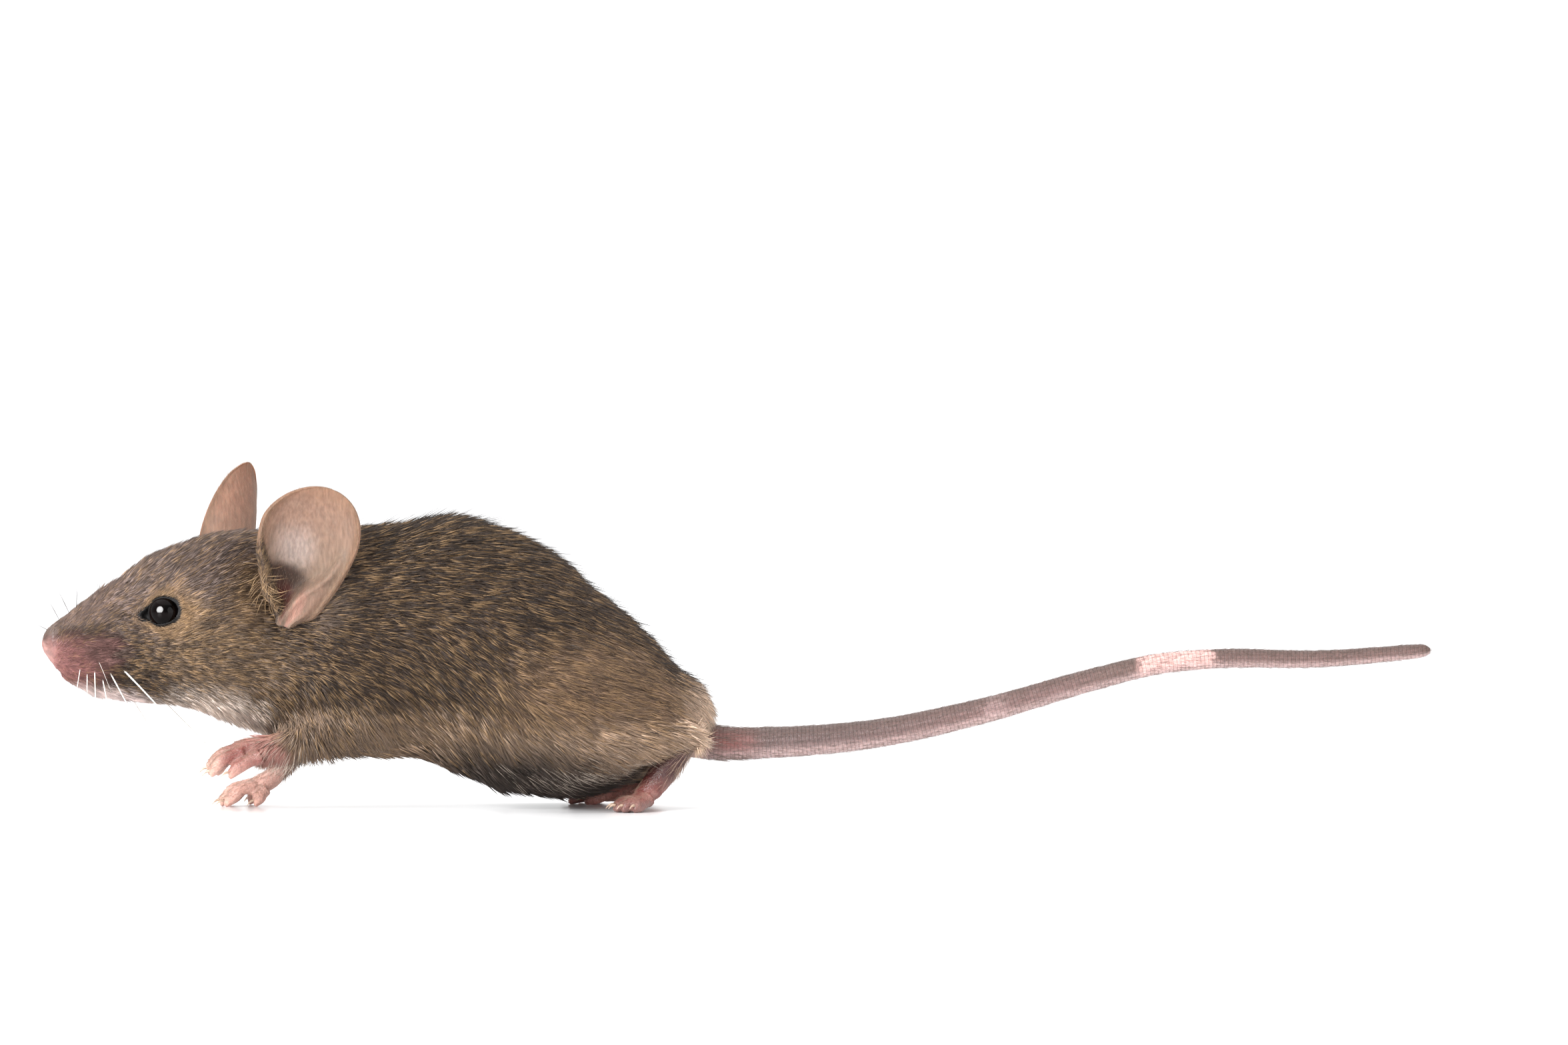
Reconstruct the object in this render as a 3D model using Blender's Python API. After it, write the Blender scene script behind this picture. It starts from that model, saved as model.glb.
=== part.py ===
"""House mouse, life size, walking: head low and forward, left forepaw lifted, tail held out behind.

The mouse faces -X with its left side towards -Y.
All the tables are in millimetres, and MM turns them into metres.
The origin is on the floor under the middle of the whole animal, from its nose to the tip of its tail.
The furred body is made whole, at the tips of its coat, and then parted by thin cuts.
"""

import math

import bpy
import numpy as np
from mathutils import Matrix, Vector

MM = 0.001
GAP = 0.3  # between neighbouring parts
LEFT, RIGHT = -1, 1

# Driving sizes.
EYE_RADIUS = 1.85
EYE_AT = (-65.8, 4.15, 22.75)  # the right eye; the left one is its mirror image
EAR_LENGTH = 16.6
EAR_WIDTH = 12.4
EAR_THICKNESS = 0.6
TAIL_ROOT_RADIUS = 1.85
TAIL_TIP_RADIUS = 0.85
CLAW_LENGTH = 1.3

# Head and trunk from nose to rump: x, back, underside, half width, height of the widest place as a share.
TRUNK = [
    (-80.3, 19.9, 18.7, 0.4, 0.5),
    (-79.8, 20.9, 17.4, 1.0, 0.5),
    (-78.8, 21.6, 16.2, 1.5, 0.5),
    (-77.3, 22.6, 14.6, 2.1, 0.47),
    (-75.8, 23.7, 13.8, 2.65, 0.44),
    (-74.2, 24.9, 13.0, 3.1, 0.42),
    (-71.1, 26.8, 12.4, 3.8, 0.42),
    (-68.1, 28.8, 12.4, 4.5, 0.45),
    (-65.0, 30.1, 12.3, 5.4, 0.46),
    (-61.9, 31.1, 11.7, 6.2, 0.46),
    (-58.8, 31.7, 10.6, 6.8, 0.45),
    (-55.5, 32.1, 9.4, 7.2, 0.44),
    (-51.5, 32.4, 7.4, 7.8, 0.44),
    (-47.5, 32.6, 6.2, 8.7, 0.43),
    (-42.5, 32.8, 5.7, 9.7, 0.43),
    (-37.3, 33.5, 5.6, 10.6, 0.43),
    (-32.5, 33.9, 4.0, 11.4, 0.42),
    (-28.0, 32.8, 2.2, 11.9, 0.4),
    (-24.9, 31.6, 1.6, 12.0, 0.4),
    (-21.9, 30.0, 1.2, 11.9, 0.4),
    (-17.2, 26.1, 1.4, 11.1, 0.41),
    (-14.2, 23.6, 2.2, 10.3, 0.42),
    (-11.1, 20.7, 3.4, 9.1, 0.43),
    (-8.0, 17.3, 4.8, 7.4, 0.45),
    (-6.2, 15.2, 5.8, 5.9, 0.47),
    (-4.6, 13.6, 7.2, 3.9, 0.5),
    (-3.4, 12.2, 8.8, 2.0, 0.5),
    (-3.0, 11.4, 9.8, 0.7, 0.5),
]
FULLNESS = 2.2  # 2 would give oval sections; more makes them squarer

# Soft swellings and hollows on both sides of the trunk: centre, reach and height.
SWELLINGS = {
    "whisker_pad": ((-73.8, 3.2, 16.4), (2.6, 2.6, 2.6), 0.5),
    "cheek": ((-60.0, 6.8, 17.0), (5.5, 4.0, 4.6), 0.8),
    "brow": ((-64.0, 4.8, 25.2), (3.2, 2.6, 1.7), 0.45),
    "eye_hollow": ((-67.0, 4.8, 22.4), (3.0, 2.6, 2.4), -0.45),
    "nape": ((-50.0, 7.0, 20.0), (3.2, 5.0, 7.0), -0.5),
    "ear_hollow": ((-53.4, 7.5, 25.6), (3.0, 3.4, 4.4), -1.5),
    "shoulder": ((-45.0, 9.5, 15.0), (5.5, 6.0, 8.0), 1.3),
    "flank_hollow": ((-34.5, 10.8, 10.0), (4.5, 5.0, 6.0), -0.9),
    "haunch": ((-18.5, 12.0, 14.5), (10.5, 7.0, 9.0), 1.9),
    "rump_side": ((-8.5, 6.0, 11.5), (4.0, 5.0, 5.0), 0.6),
}

# Furred stretches of the legs, as (x, y, z) and radius along each bone.
LEG_TUBES = {
    "left_arm": [
        (-43.0, -6.4, 10.4, 4.1), (-48.0, -6.6, 8.6, 2.9),
        (-51.5, -6.3, 7.4, 2.2), (-54.4, -6.1, 7.0, 1.75),
    ],
    "right_arm": [
        (-45.0, 5.4, 10.5, 4.0), (-49.0, 4.7, 8.6, 2.9),
        (-51.6, 3.9, 6.3, 1.8), (-52.7, 3.5, 4.6, 1.4),
    ],
    "left_shank": [
        (-26.0, -9.4, 9.4, 3.2), (-20.0, -9.5, 7.6, 3.7),
        (-12.0, -8.4, 7.9, 3.1), (-6.0, -6.6, 8.7, 2.2),
    ],
    "right_shank": [
        (-26.0, 9.4, 7.4, 3.4), (-19.0, 9.0, 5.4, 3.5),
        (-12.5, 6.4, 5.0, 2.8), (-9.3, 5.0, 4.4, 2.0),
    ],
}

# Bare parts of the feet. Each toe is a path of (x, y, z) and radius from the foot to its pad.
LEFT_HAND = {
    "palm": [(-53.6, -6.2, 7.0, 1.6), (-55.8, -6.1, 7.1, 1.6), (-57.4, -6.2, 6.8, 1.45)],
    "toes": [
        [
            (-56.6, -7.2, 6.7, 0.95), (-58.4, -7.7, 6.1, 0.85),
            (-59.6, -7.9, 5.2, 0.75), (-60.1, -7.9, 4.5, 0.6),
        ],
        [
            (-57.0, -6.2, 7.0, 1.0), (-58.9, -6.3, 6.5, 0.88),
            (-60.0, -6.3, 5.5, 0.75), (-60.5, -6.3, 4.8, 0.6),
        ],
        [
            (-56.6, -5.2, 6.7, 0.95), (-58.2, -4.9, 6.2, 0.82),
            (-59.2, -4.8, 5.2, 0.72), (-59.6, -4.7, 4.5, 0.58),
        ],
        [
            (-54.8, -7.3, 6.3, 1.1), (-56.2, -8.0, 5.6, 0.85),
            (-57.4, -8.3, 4.8, 0.72), (-57.9, -8.4, 4.3, 0.55),
        ],
    ],
}
RIGHT_HAND = {
    "palm": [
        (-52.9, 3.5, 4.4, 1.2), (-54.0, 3.6, 3.2, 1.4),
        (-55.4, 3.8, 2.5, 1.35), (-56.5, 3.9, 2.2, 1.1),
    ],
    "toes": [
        [(-55.9, 2.9, 2.2, 0.9), (-57.4, 2.2, 2.0, 0.8), (-58.5, 1.8, 1.0, 0.75), (-59.0, 1.7, 0.5, 0.62)],
        [
            (-56.5, 3.7, 2.3, 0.95), (-58.0, 3.5, 2.1, 0.82),
            (-59.1, 3.4, 1.1, 0.75), (-59.6, 3.3, 0.5, 0.62),
        ],
        [(-56.1, 4.7, 2.2, 0.9), (-57.4, 5.1, 1.9, 0.8), (-58.3, 5.4, 1.0, 0.72), (-58.7, 5.5, 0.5, 0.6)],
        [(-54.8, 5.0, 2.0, 0.9), (-55.6, 6.0, 1.7, 0.8), (-56.2, 6.6, 0.95, 0.72), (-56.5, 6.9, 0.5, 0.6)],
        [(-54.7, 2.8, 2.0, 0.9), (-55.2, 2.3, 1.2, 0.75), (-55.6, 2.1, 0.5, 0.65)],
    ],
}
LEFT_FOOT = {
    "palm": [
        (-5.4, -6.4, 8.2, 1.55), (-7.0, -6.8, 5.8, 1.5),
        (-9.0, -7.3, 3.2, 1.5), (-10.8, -7.8, 1.5, 1.4),
    ],
    "toes": [
        [(-10.0, -9.0, 1.4, 0.85), (-10.9, -10.6, 0.9, 0.75), (-11.5, -11.6, 0.5, 0.62)],
        [(-10.5, -8.7, 1.4, 0.9), (-11.9, -10.3, 1.0, 0.78), (-12.8, -11.4, 0.5, 0.62)],
        [(-10.8, -8.2, 1.4, 0.9), (-12.5, -9.5, 1.0, 0.78), (-13.6, -10.4, 0.5, 0.62)],
        [(-10.9, -7.5, 1.4, 0.9), (-12.7, -8.4, 1.0, 0.78), (-13.8, -9.0, 0.5, 0.62)],
        [(-10.6, -6.9, 1.3, 0.8), (-12.0, -7.0, 0.8, 0.72), (-13.0, -7.1, 0.5, 0.6)],
    ],
}
RIGHT_FOOT = {
    "palm": [(-9.2, 5.0, 3.2, 1.6), (-9.8, 5.2, 1.9, 1.6), (-12.4, 6.6, 1.7, 1.5), (-15.4, 8.2, 1.5, 1.5)],
    "toes": [
        [(-14.6, 9.2, 1.3, 0.85), (-15.8, 10.7, 0.9, 0.75), (-16.6, 11.8, 0.5, 0.62)],
        [(-15.3, 9.0, 1.4, 0.9), (-17.0, 10.5, 1.1, 0.78), (-18.3, 11.5, 0.5, 0.62)],
        [(-15.6, 8.4, 1.4, 0.9), (-17.7, 9.4, 1.1, 0.78), (-19.2, 10.2, 0.5, 0.62)],
        [(-15.6, 7.7, 1.4, 0.9), (-17.7, 8.1, 1.1, 0.78), (-19.3, 8.4, 0.5, 0.62)],
        [(-14.9, 7.0, 1.3, 0.8), (-16.3, 6.7, 0.8, 0.72), (-17.4, 6.5, 0.5, 0.6)],
    ],
}

# The tail's line, held clear of the floor: x, y, z.
TAIL_LINE = [
    (-7.5, 0.0, 8.3),
    (-1.8, -0.1, 7.5),
    (4.3, -0.3, 7.6),
    (16.6, -0.7, 8.7),
    (29.0, -0.9, 11.4),
    (41.3, -0.4, 14.9),
    (48.5, 0.2, 16.6),
    (55.1, 0.7, 17.2),
    (67.5, 1.2, 17.2),
    (80.3, 1.2, 18.2),
]
TAIL_PIECES = ["tail_root", "tail_middle", "tail_pale_band", "tail_end"]
TAIL_CUTS = [21.0, 46.3, 55.2]  # x of each cut

# Each ear: its root on the head, the way its tip points, the way it opens, the radius of its cup
# and the share of its length at which it's widest.
EARS = {
    "ear_left": ((-52.6, -7.1, 21.0), (0.37, -0.22, 0.90), (-0.16, -0.97, -0.18), 7.8, 0.62),
    "ear_right": ((-58.6, 6.2, 23.2), (0.10, 0.18, 0.98), (-0.80, 0.60, 0.0), 4.4, 0.38),
}
EAR_ROOT_SHARE = 0.56
EAR_FUNNEL = 2.3  # radius of the cup at the root
EAR_BACK = 0.9  # how far the back of the ear bows out

# Regions that part the furred body: an ellipsoid's centre, radii and pitch in degrees.
LIMB_REGIONS = {
    "shank_left": ((-15.5, -10.0, 4.6), (13.6, 5.2, 4.9), 9),
    "shank_right": ((-18.0, 10.0, 3.2), (12.5, 6.0, 4.9), 0),
    "thigh_left": ((-18.6, -14.2, 14.6), (11.4, 6.2, 9.4), 20),
    "thigh_right": ((-18.6, 14.2, 14.6), (11.4, 6.2, 9.4), 20),
    "forearm_left": ((-52.6, -6.6, 6.8), (4.6, 3.4, 3.0), -12),
    "forearm_right": ((-51.9, 3.9, 5.4), (3.2, 3.6, 2.6), -50),
    "upper_arm_left": ((-44.6, -10.6, 12.6), (6.2, 5.0, 7.6), 0),
    "upper_arm_right": ((-44.6, 10.6, 12.6), (6.2, 5.0, 7.6), 0),
}
# Cuts across the body from nose to rump: x of the cut at mid height, its lean in degrees.
BODY_PIECES = ["nose", "head", "neck", "chest", "belly", "rump"]
BODY_CUTS = [(-78.4, 10), (-50.0, 14), (-41.5, 8), (-29.5, 0), (-17.0, -8)]

CUT_HEIGHT = 16
BLOCK = 200  # side of the blocks that cut
BLEND_FROM, BLEND_TO = -54, -5  # where along the body the legs blend into it
SECTION_SIDES = 32
BODY_VOXEL = 0.5
PAW_VOXEL = 0.2
BODY_TRIANGLES = 1900
PAW_TRIANGLES = 370


def clear_scene():
    for obj in list(bpy.data.objects):
        bpy.data.objects.remove(obj)


def material(name, colour, roughness):
    made = bpy.data.materials.new(name)
    made.use_nodes = True
    shader = made.node_tree.nodes["Principled BSDF"]
    shader.inputs["Base Color"].default_value = (*colour, 1)
    shader.inputs["Roughness"].default_value = roughness
    shader.inputs["Metallic"].default_value = 0
    return made


def new_object(name, vertices, faces):
    """A mesh object from points in millimetres."""
    mesh = bpy.data.meshes.new(name)
    mesh.from_pydata([Vector(v) * MM for v in vertices], [], faces)
    mesh.update()
    obj = bpy.data.objects.new(name, mesh)
    bpy.context.scene.collection.objects.link(obj)
    return obj


def remove(*objects):
    for obj in objects:
        bpy.data.objects.remove(obj)


def copy_of(obj, name):
    made = bpy.data.objects.new(name, obj.data.copy())
    bpy.context.scene.collection.objects.link(made)
    return made


def smooth_rows(rows, count):
    """Rows along a smooth curve through the given ones, evenly spaced along its length."""
    rows = np.array(rows, float)
    steps = np.linalg.norm(np.diff(rows[:, :3], axis=0), axis=1)
    at = np.concatenate([[0], np.cumsum(steps)])
    slopes = np.gradient(rows, at, axis=0)
    wanted = np.linspace(0, at[-1], count)
    k = np.clip(np.searchsorted(at, wanted, side="right") - 1, 0, len(at) - 2)
    h = (at[k + 1] - at[k])[:, None]
    t = (wanted - at[k])[:, None] / h
    start = (2 * t**3 - 3 * t**2 + 1) * rows[k] + (t**3 - 2 * t**2 + t) * h * slopes[k]
    end = (3 * t**2 - 2 * t**3) * rows[k + 1] + (t**3 - t**2) * h * slopes[k + 1]
    return start + end


def skin_rings(rings):
    """Points and faces that join rings in a row, with a flat face at each end."""
    sides = len(rings[0])
    vertices = [p for ring in rings for p in ring]
    faces = []
    for i in range(len(rings) - 1):
        for j in range(sides):
            a, b = i * sides + j, i * sides + (j + 1) % sides
            faces.append((a, b, b + sides, a + sides))
    faces.append(tuple(reversed(range(sides))))
    faces.append(tuple(range(len(vertices) - sides, len(vertices))))
    return vertices, faces


def rounded(value):
    """A cosine or sine taken to the trunk's fullness."""
    return math.copysign(abs(value) ** (2 / FULLNESS), value)


def trunk_object():
    """Head, neck and trunk in one: oval sections whose widest place sits at its own height."""
    rings = []
    for x, back, under, half, share in smooth_rows(TRUNK, 100):
        widest = under + (back - under) * share
        ring = []
        for j in range(SECTION_SIDES):
            a = 2 * math.pi * j / SECTION_SIDES
            rise = rounded(math.sin(a))
            reach = back - widest if rise > 0 else widest - under
            ring.append((x, half * rounded(math.cos(a)), widest + reach * rise))
        rings.append(ring)
    obj = new_object("trunk", *skin_rings(rings))
    swell(obj)
    return obj


def swell(obj):
    """Moves the surface out or in along its own direction around each swelling."""
    shifts = []
    for vertex in obj.data.vertices:
        x, y, z = vertex.co / MM
        height = 0
        for centre, reach, amount in SWELLINGS.values():
            away = sum(((p - c) / r) ** 2 for p, c, r in zip((x, abs(y), z), centre, reach))
            height += amount * math.exp(-away)
        shifts.append(vertex.normal * height * MM)
    for vertex, shift in zip(obj.data.vertices, shifts):
        vertex.co += shift


def tube_object(name, rows, count=14, sides=10, flatten=1.0):
    """A round tube along rows of (x, y, z, radius), with domed ends."""
    rows = smooth_rows(rows, count)
    points, radii = rows[:, :3], rows[:, 3]
    along = np.gradient(points, axis=0)
    along /= np.linalg.norm(along, axis=1)[:, None]
    dome = [(0.86, 0.5), (0.5, 0.86)]
    places = [(points[0], along[0], radii[0], -out, share) for out, share in dome]
    places += [(p, t, r, 0, 1) for p, t, r in zip(points, along, radii)]
    places += [(points[-1], along[-1], radii[-1], out, share) for out, share in reversed(dome)]
    rings = []
    for point, ahead, radius, out, share in places:
        side = np.cross((0, 1, 0), ahead)
        side = side / np.linalg.norm(side)
        up = np.cross(ahead, side)
        centre = point + ahead * radius * out
        angles = [2 * math.pi * j / sides for j in range(sides)]
        rings.append([
            centre + radius * share * (flatten * math.cos(a) * side + math.sin(a) * up) for a in angles
        ])
    return new_object(name, *skin_rings(rings))


def ellipsoid_object(name, centre, radii, pitch=0, segments=10):
    bpy.ops.mesh.primitive_uv_sphere_add(segments=segments, ring_count=segments // 2 + 1, radius=1)
    obj = bpy.context.object
    obj.name = name
    stretch = Matrix.Diagonal((*[r * MM for r in radii], 1))
    turn = Matrix.Rotation(math.radians(pitch), 4, "Y")
    obj.data.transform(Matrix.Translation(Vector(centre) * MM) @ turn @ stretch)
    return obj


def block_object(name, x, z, lean, side):
    """A large block on one side of a plane across the body: before it (-1) or after it (1)."""
    bpy.ops.mesh.primitive_cube_add(size=BLOCK * MM)
    obj = bpy.context.object
    obj.name = name
    shift = Matrix.Translation(Vector((side * BLOCK / 2, 0, 0)) * MM)
    turn = Matrix.Rotation(math.radians(lean), 4, "Y")
    obj.data.transform(Matrix.Translation(Vector((x, 0, z)) * MM) @ turn @ shift)
    return obj


def joined(name, objects):
    """One object that holds the given ones, still as separate shells."""
    with bpy.context.temp_override(active_object=objects[0], selected_editable_objects=objects):
        bpy.ops.object.join()
    objects[0].name = name
    return objects[0]


def settle(obj):
    """Bakes an object's modifiers into its mesh."""
    graph = bpy.context.evaluated_depsgraph_get()
    mesh = bpy.data.meshes.new_from_object(obj.evaluated_get(graph))
    obj.modifiers.clear()
    obj.data = mesh
    return obj


def fused(obj, voxel, smoothing, triangles, blend=False):
    """Melts overlapping shells into one smooth skin of about that many triangles."""
    melt = obj.modifiers.new("melt", "REMESH")
    melt.mode = "VOXEL"
    melt.voxel_size = voxel * MM
    soften = obj.modifiers.new("soften", "SMOOTH")
    soften.factor = 0.5
    soften.iterations = smoothing
    settle(obj)
    if blend:
        # The creases where the legs leave the body are softened most; the head keeps its form.
        group = obj.vertex_groups.new(name="body")
        for vertex in obj.data.vertices:
            x = vertex.co.x / MM
            share = min(1, max(0, (x - BLEND_FROM) / 6)) * min(1, max(0, (BLEND_TO - x) / 6))
            group.add([vertex.index], share, "REPLACE")
        spread = obj.modifiers.new("blend", "SMOOTH")
        spread.factor = 0.5
        spread.iterations = 16
        spread.vertex_group = "body"
        settle(obj)
    thin = obj.modifiers.new("thin_out", "DECIMATE")
    thin.ratio = triangles / (2 * len(obj.data.polygons))
    return settle(obj)


def cut(obj, cutter, operation="DIFFERENCE"):
    step = obj.modifiers.new("cut", "BOOLEAN")
    step.operation = operation
    step.object = cutter
    step.solver = "EXACT"
    return settle(obj)


def trim(obj, cutter, operation="DIFFERENCE"):
    """Cuts an object with a solid that is then thrown away."""
    cut(obj, cutter, operation)
    remove(cutter)


def grown(obj, amount):
    """A copy whose surface stands further out all round."""
    made = copy_of(obj, f"{obj.name}_grown")
    for vertex in made.data.vertices:
        vertex.co += vertex.normal * amount * MM
    return made


def flesh_object():
    """The furred body from muzzle to rump with the furred lengths of the legs, as one closed skin."""
    parts = [trunk_object()]
    parts += [tube_object(name, rows, sides=16) for name, rows in LEG_TUBES.items()]
    return fused(joined("flesh", parts), BODY_VOXEL, 4, BODY_TRIANGLES, blend=True)


def paw_object(name, paw):
    """A bare foot with its toes, each ending in a claw, with flats where it stands."""
    parts = [tube_object("palm", paw["palm"], sides=14, flatten=0.85)]
    for toe in paw["toes"]:
        parts.append(tube_object("toe", toe, count=10))
        last, before = np.array(toe[-1])[:3], np.array(toe[-2])[:3]
        ahead = (last - before) * (1, 1, 0.3)
        ahead /= np.linalg.norm(ahead)
        start = last + (0, 0, 0.2)
        claw = [(*start, 0.34), (*(start + ahead * CLAW_LENGTH * 0.6), 0.32)]
        claw.append((*(start + ahead * CLAW_LENGTH - (0, 0, 0.15)), 0.27))
        parts.append(tube_object("claw", claw, count=5, sides=8))
    return fused(joined(name, parts), PAW_VOXEL, 3, PAW_TRIANGLES)


def ear_object(name):
    """A thin cupped leaf of even thickness: a funnel at its root, open and round at its tip."""
    root, tip, opening, cup, widest = EARS[name]
    up = Vector(tip).normalized()
    out = (Vector(opening) - up * Vector(opening).dot(up)).normalized()
    across = up.cross(out)
    columns, rows = 10, 10
    inner, outer = [], []
    for i in range(rows + 1):
        v = math.sin(math.pi / 2 * i / rows) ** 0.9
        opened = math.sin(math.pi / 2 * min(1, v / widest))
        half = EAR_WIDTH / 2 * (EAR_ROOT_SHARE + (1 - EAR_ROOT_SHARE) * opened)
        if v > widest:
            half = EAR_WIDTH / 2 * math.sqrt(max(0.0, 1 - ((v - widest) / (1.004 - widest)) ** 2))
        radius = EAR_FUNNEL + (cup - EAR_FUNNEL) * min(1, v / 0.7)
        hollow = EAR_BACK * math.sin(math.pi * min(1, v * 1.1))
        for j in range(columns + 1):
            a = half / radius * (2 * j / columns - 1)
            for shift, points in ((0, inner), (EAR_THICKNESS, outer)):
                reach = radius + shift
                place = across * math.sin(a) * reach + out * (radius - math.cos(a) * reach - hollow)
                points.append(Vector(root) + up * (EAR_LENGTH * v + shift * max(0, v - 0.8)) + place)
    width = columns + 1
    count = len(inner)
    faces = []
    for i in range(rows):
        for j in range(columns):
            a = i * width + j
            faces.append((a, a + 1, a + 1 + width, a + width))
            faces.append((count + a, count + a + width, count + a + 1 + width, count + a + 1))
    border = list(range(width))
    border += [i * width + columns for i in range(1, rows + 1)]
    border += [rows * width + j for j in range(columns - 1, -1, -1)]
    border += [i * width for i in range(rows - 1, 0, -1)]
    for a, b in zip(border, border[1:] + border[:1]):
        faces.append((b, a, count + a, count + b))
    return new_object(name, inner + outer, faces)


def tail_object():
    """The tail tapers evenly and ends in a blunt point."""
    line = smooth_rows(TAIL_LINE, 40)
    share = np.linspace(0, 1, len(line))
    radii = TAIL_ROOT_RADIUS + (TAIL_TIP_RADIUS - TAIL_ROOT_RADIUS) * share
    radii *= 0.45 + 0.55 * np.clip((1 - share) / 0.05, 0, 1) ** 0.6
    return tube_object("tail", np.column_stack([line, radii]), count=40)


def parted(whole, pieces, cuts):
    """Parts an object along X: each piece is what lies between two leaning planes."""
    for i, name in enumerate(pieces):
        piece = copy_of(whole, name)
        if i > 0:
            x, lean = cuts[i - 1]
            trim(piece, block_object("before", x + GAP / 2, CUT_HEIGHT, lean, -1))
        if i < len(cuts):
            x, lean = cuts[i]
            trim(piece, block_object("after", x - GAP / 2, CUT_HEIGHT, lean, 1))
    remove(whole)


def main():
    clear_scene()
    fur = material("fur", (0.20, 0.14, 0.08), 0.9)
    bare = material("bare_skin", (0.62, 0.32, 0.27), 0.6)
    ear_skin = material("ear_skin", (0.50, 0.30, 0.22), 0.7)
    tail_skin = material("tail_skin", (0.25, 0.17, 0.15), 0.8)
    tail_band_skin = material("tail_band_skin", (0.85, 0.55, 0.50), 0.75)
    eye_black = material("eye", (0.01, 0.01, 0.012), 0.05)

    flesh = flesh_object()
    flesh.data.materials.append(fur)
    around = grown(flesh, GAP)
    floor = block_object("under_floor", 0, 0, 90, 1)

    for name in EARS:
        ear = ear_object(name)
        ear.data.materials.append(ear_skin)
        cut(ear, around)
    for name, paw in (
        ("forepaw_left", LEFT_HAND),
        ("forepaw_right", RIGHT_HAND),
        ("hind_foot_left", LEFT_FOOT),
        ("hind_foot_right", RIGHT_FOOT),
    ):
        made = paw_object(name, paw)
        made.data.materials.append(bare)
        cut(made, around)
        cut(made, floor)
    tail = tail_object()
    tail.data.materials.append(tail_skin)
    cut(tail, around)
    parted(tail, TAIL_PIECES, [(x, 0) for x in TAIL_CUTS])
    bpy.data.objects["tail_pale_band"].data.materials[0] = tail_band_skin

    for side, name in ((LEFT, "eye_left"), (RIGHT, "eye_right")):
        x, y, z = EYE_AT
        centre = (x, side * y, z)
        trim(flesh, ellipsoid_object("socket", centre, (EYE_RADIUS + GAP,) * 3, segments=14))
        ball = ellipsoid_object(name, centre, (EYE_RADIUS,) * 3, segments=14)
        ball.data.materials.append(eye_black)

    for name, (centre, radii, pitch) in LIMB_REGIONS.items():
        trim(copy_of(flesh, name), ellipsoid_object("region", centre, radii, pitch), "INTERSECT")
        trim(flesh, ellipsoid_object("region", centre, [r + GAP for r in radii], pitch))
    parted(flesh, BODY_PIECES, BODY_CUTS)
    remove(around, floor)


main()
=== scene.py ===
import math

import bmesh
import bpy
import numpy as np
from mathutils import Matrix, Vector
from mathutils.bvhtree import BVHTree


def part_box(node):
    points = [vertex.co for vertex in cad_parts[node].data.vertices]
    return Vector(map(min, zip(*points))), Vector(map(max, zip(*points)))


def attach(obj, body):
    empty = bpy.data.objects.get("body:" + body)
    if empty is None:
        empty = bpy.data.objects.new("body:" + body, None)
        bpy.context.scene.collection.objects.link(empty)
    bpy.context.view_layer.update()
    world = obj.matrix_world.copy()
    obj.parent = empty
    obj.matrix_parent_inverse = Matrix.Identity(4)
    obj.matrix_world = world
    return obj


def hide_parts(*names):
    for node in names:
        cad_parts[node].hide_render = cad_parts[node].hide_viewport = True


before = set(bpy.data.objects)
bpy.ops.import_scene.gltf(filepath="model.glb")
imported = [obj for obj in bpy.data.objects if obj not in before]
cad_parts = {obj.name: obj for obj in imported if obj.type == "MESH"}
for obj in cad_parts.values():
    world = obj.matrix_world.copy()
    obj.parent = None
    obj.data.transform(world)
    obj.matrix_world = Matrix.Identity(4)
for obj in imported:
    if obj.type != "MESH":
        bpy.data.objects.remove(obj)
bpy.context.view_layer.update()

mm = 0.001
left, right = -1, 1
bpy.context.scene.view_settings.view_transform = "Standard"


def tone(red, green, blue):
    # a colour picked on a screen, as the linear values that shaders take
    share = np.array([red, green, blue]) / 255
    return tuple(np.where(share <= 0.04045, share / 12.92, ((share + 0.055) / 1.055) ** 2.4)) + (1.0,)


def smoothStep(value, start, end):
    t = np.clip((value - start) / (end - start), 0, 1)
    return t * t * (3 - 2 * t)


def addToScene(name, data):
    obj = bpy.data.objects.new(name, data)
    bpy.context.scene.collection.objects.link(obj)
    return obj


def meshObject(name, points, faces, scale=mm):
    mesh = bpy.data.meshes.new(name)
    mesh.from_pydata([tuple(scale * c for c in p) for p in points], [], faces)
    mesh.update()
    return addToScene(name, mesh)


def readRows(items, key, width, kind=float):
    # one property of many mesh elements, a row of numbers each
    flat = np.empty(len(items) * width, kind)
    items.foreach_get(key, flat)
    return flat.reshape(-1, width)


def placesOf(obj):
    return readRows(obj.data.vertices, "co", 3) / mm


def normalsOf(obj):
    return readRows(obj.data.vertex_normals, "vector", 3)


def movePoints(obj, places):
    obj.data.vertices.foreach_set("co", (places * mm).ravel())
    obj.data.update()


def pushOut(obj, push):
    movePoints(obj, placesOf(obj) + normalsOf(obj) * push[:, None])


def keepAbove(obj, height):
    places = placesOf(obj)
    places[:, 2] = np.maximum(places[:, 2], height)
    movePoints(obj, places)


def softZone(places, edges):
    # 1 where each axis is past the second of its edges, 0 where one is before the first
    share = np.ones(len(places))
    for axis, start, end in edges:
        share *= smoothStep(places[:, "xyz".index(axis)], start, end)
    return share


def mirrored(places):
    # both sides as one, on the right
    return np.column_stack([places[:, 0], np.abs(places[:, 1]), places[:, 2]])


def plainMesh(obj):
    # the modifiers' result becomes the object's own mesh
    depsgraph = bpy.context.evaluated_depsgraph_get()
    made = bpy.data.meshes.new_from_object(obj.evaluated_get(depsgraph), depsgraph=depsgraph)
    obj.modifiers.clear()
    obj.data = made


def remesh(obj, voxel):
    modifier = obj.modifiers.new("remesh", "REMESH")
    modifier.mode = "VOXEL"
    modifier.voxel_size = voxel * mm
    plainMesh(obj)


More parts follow.
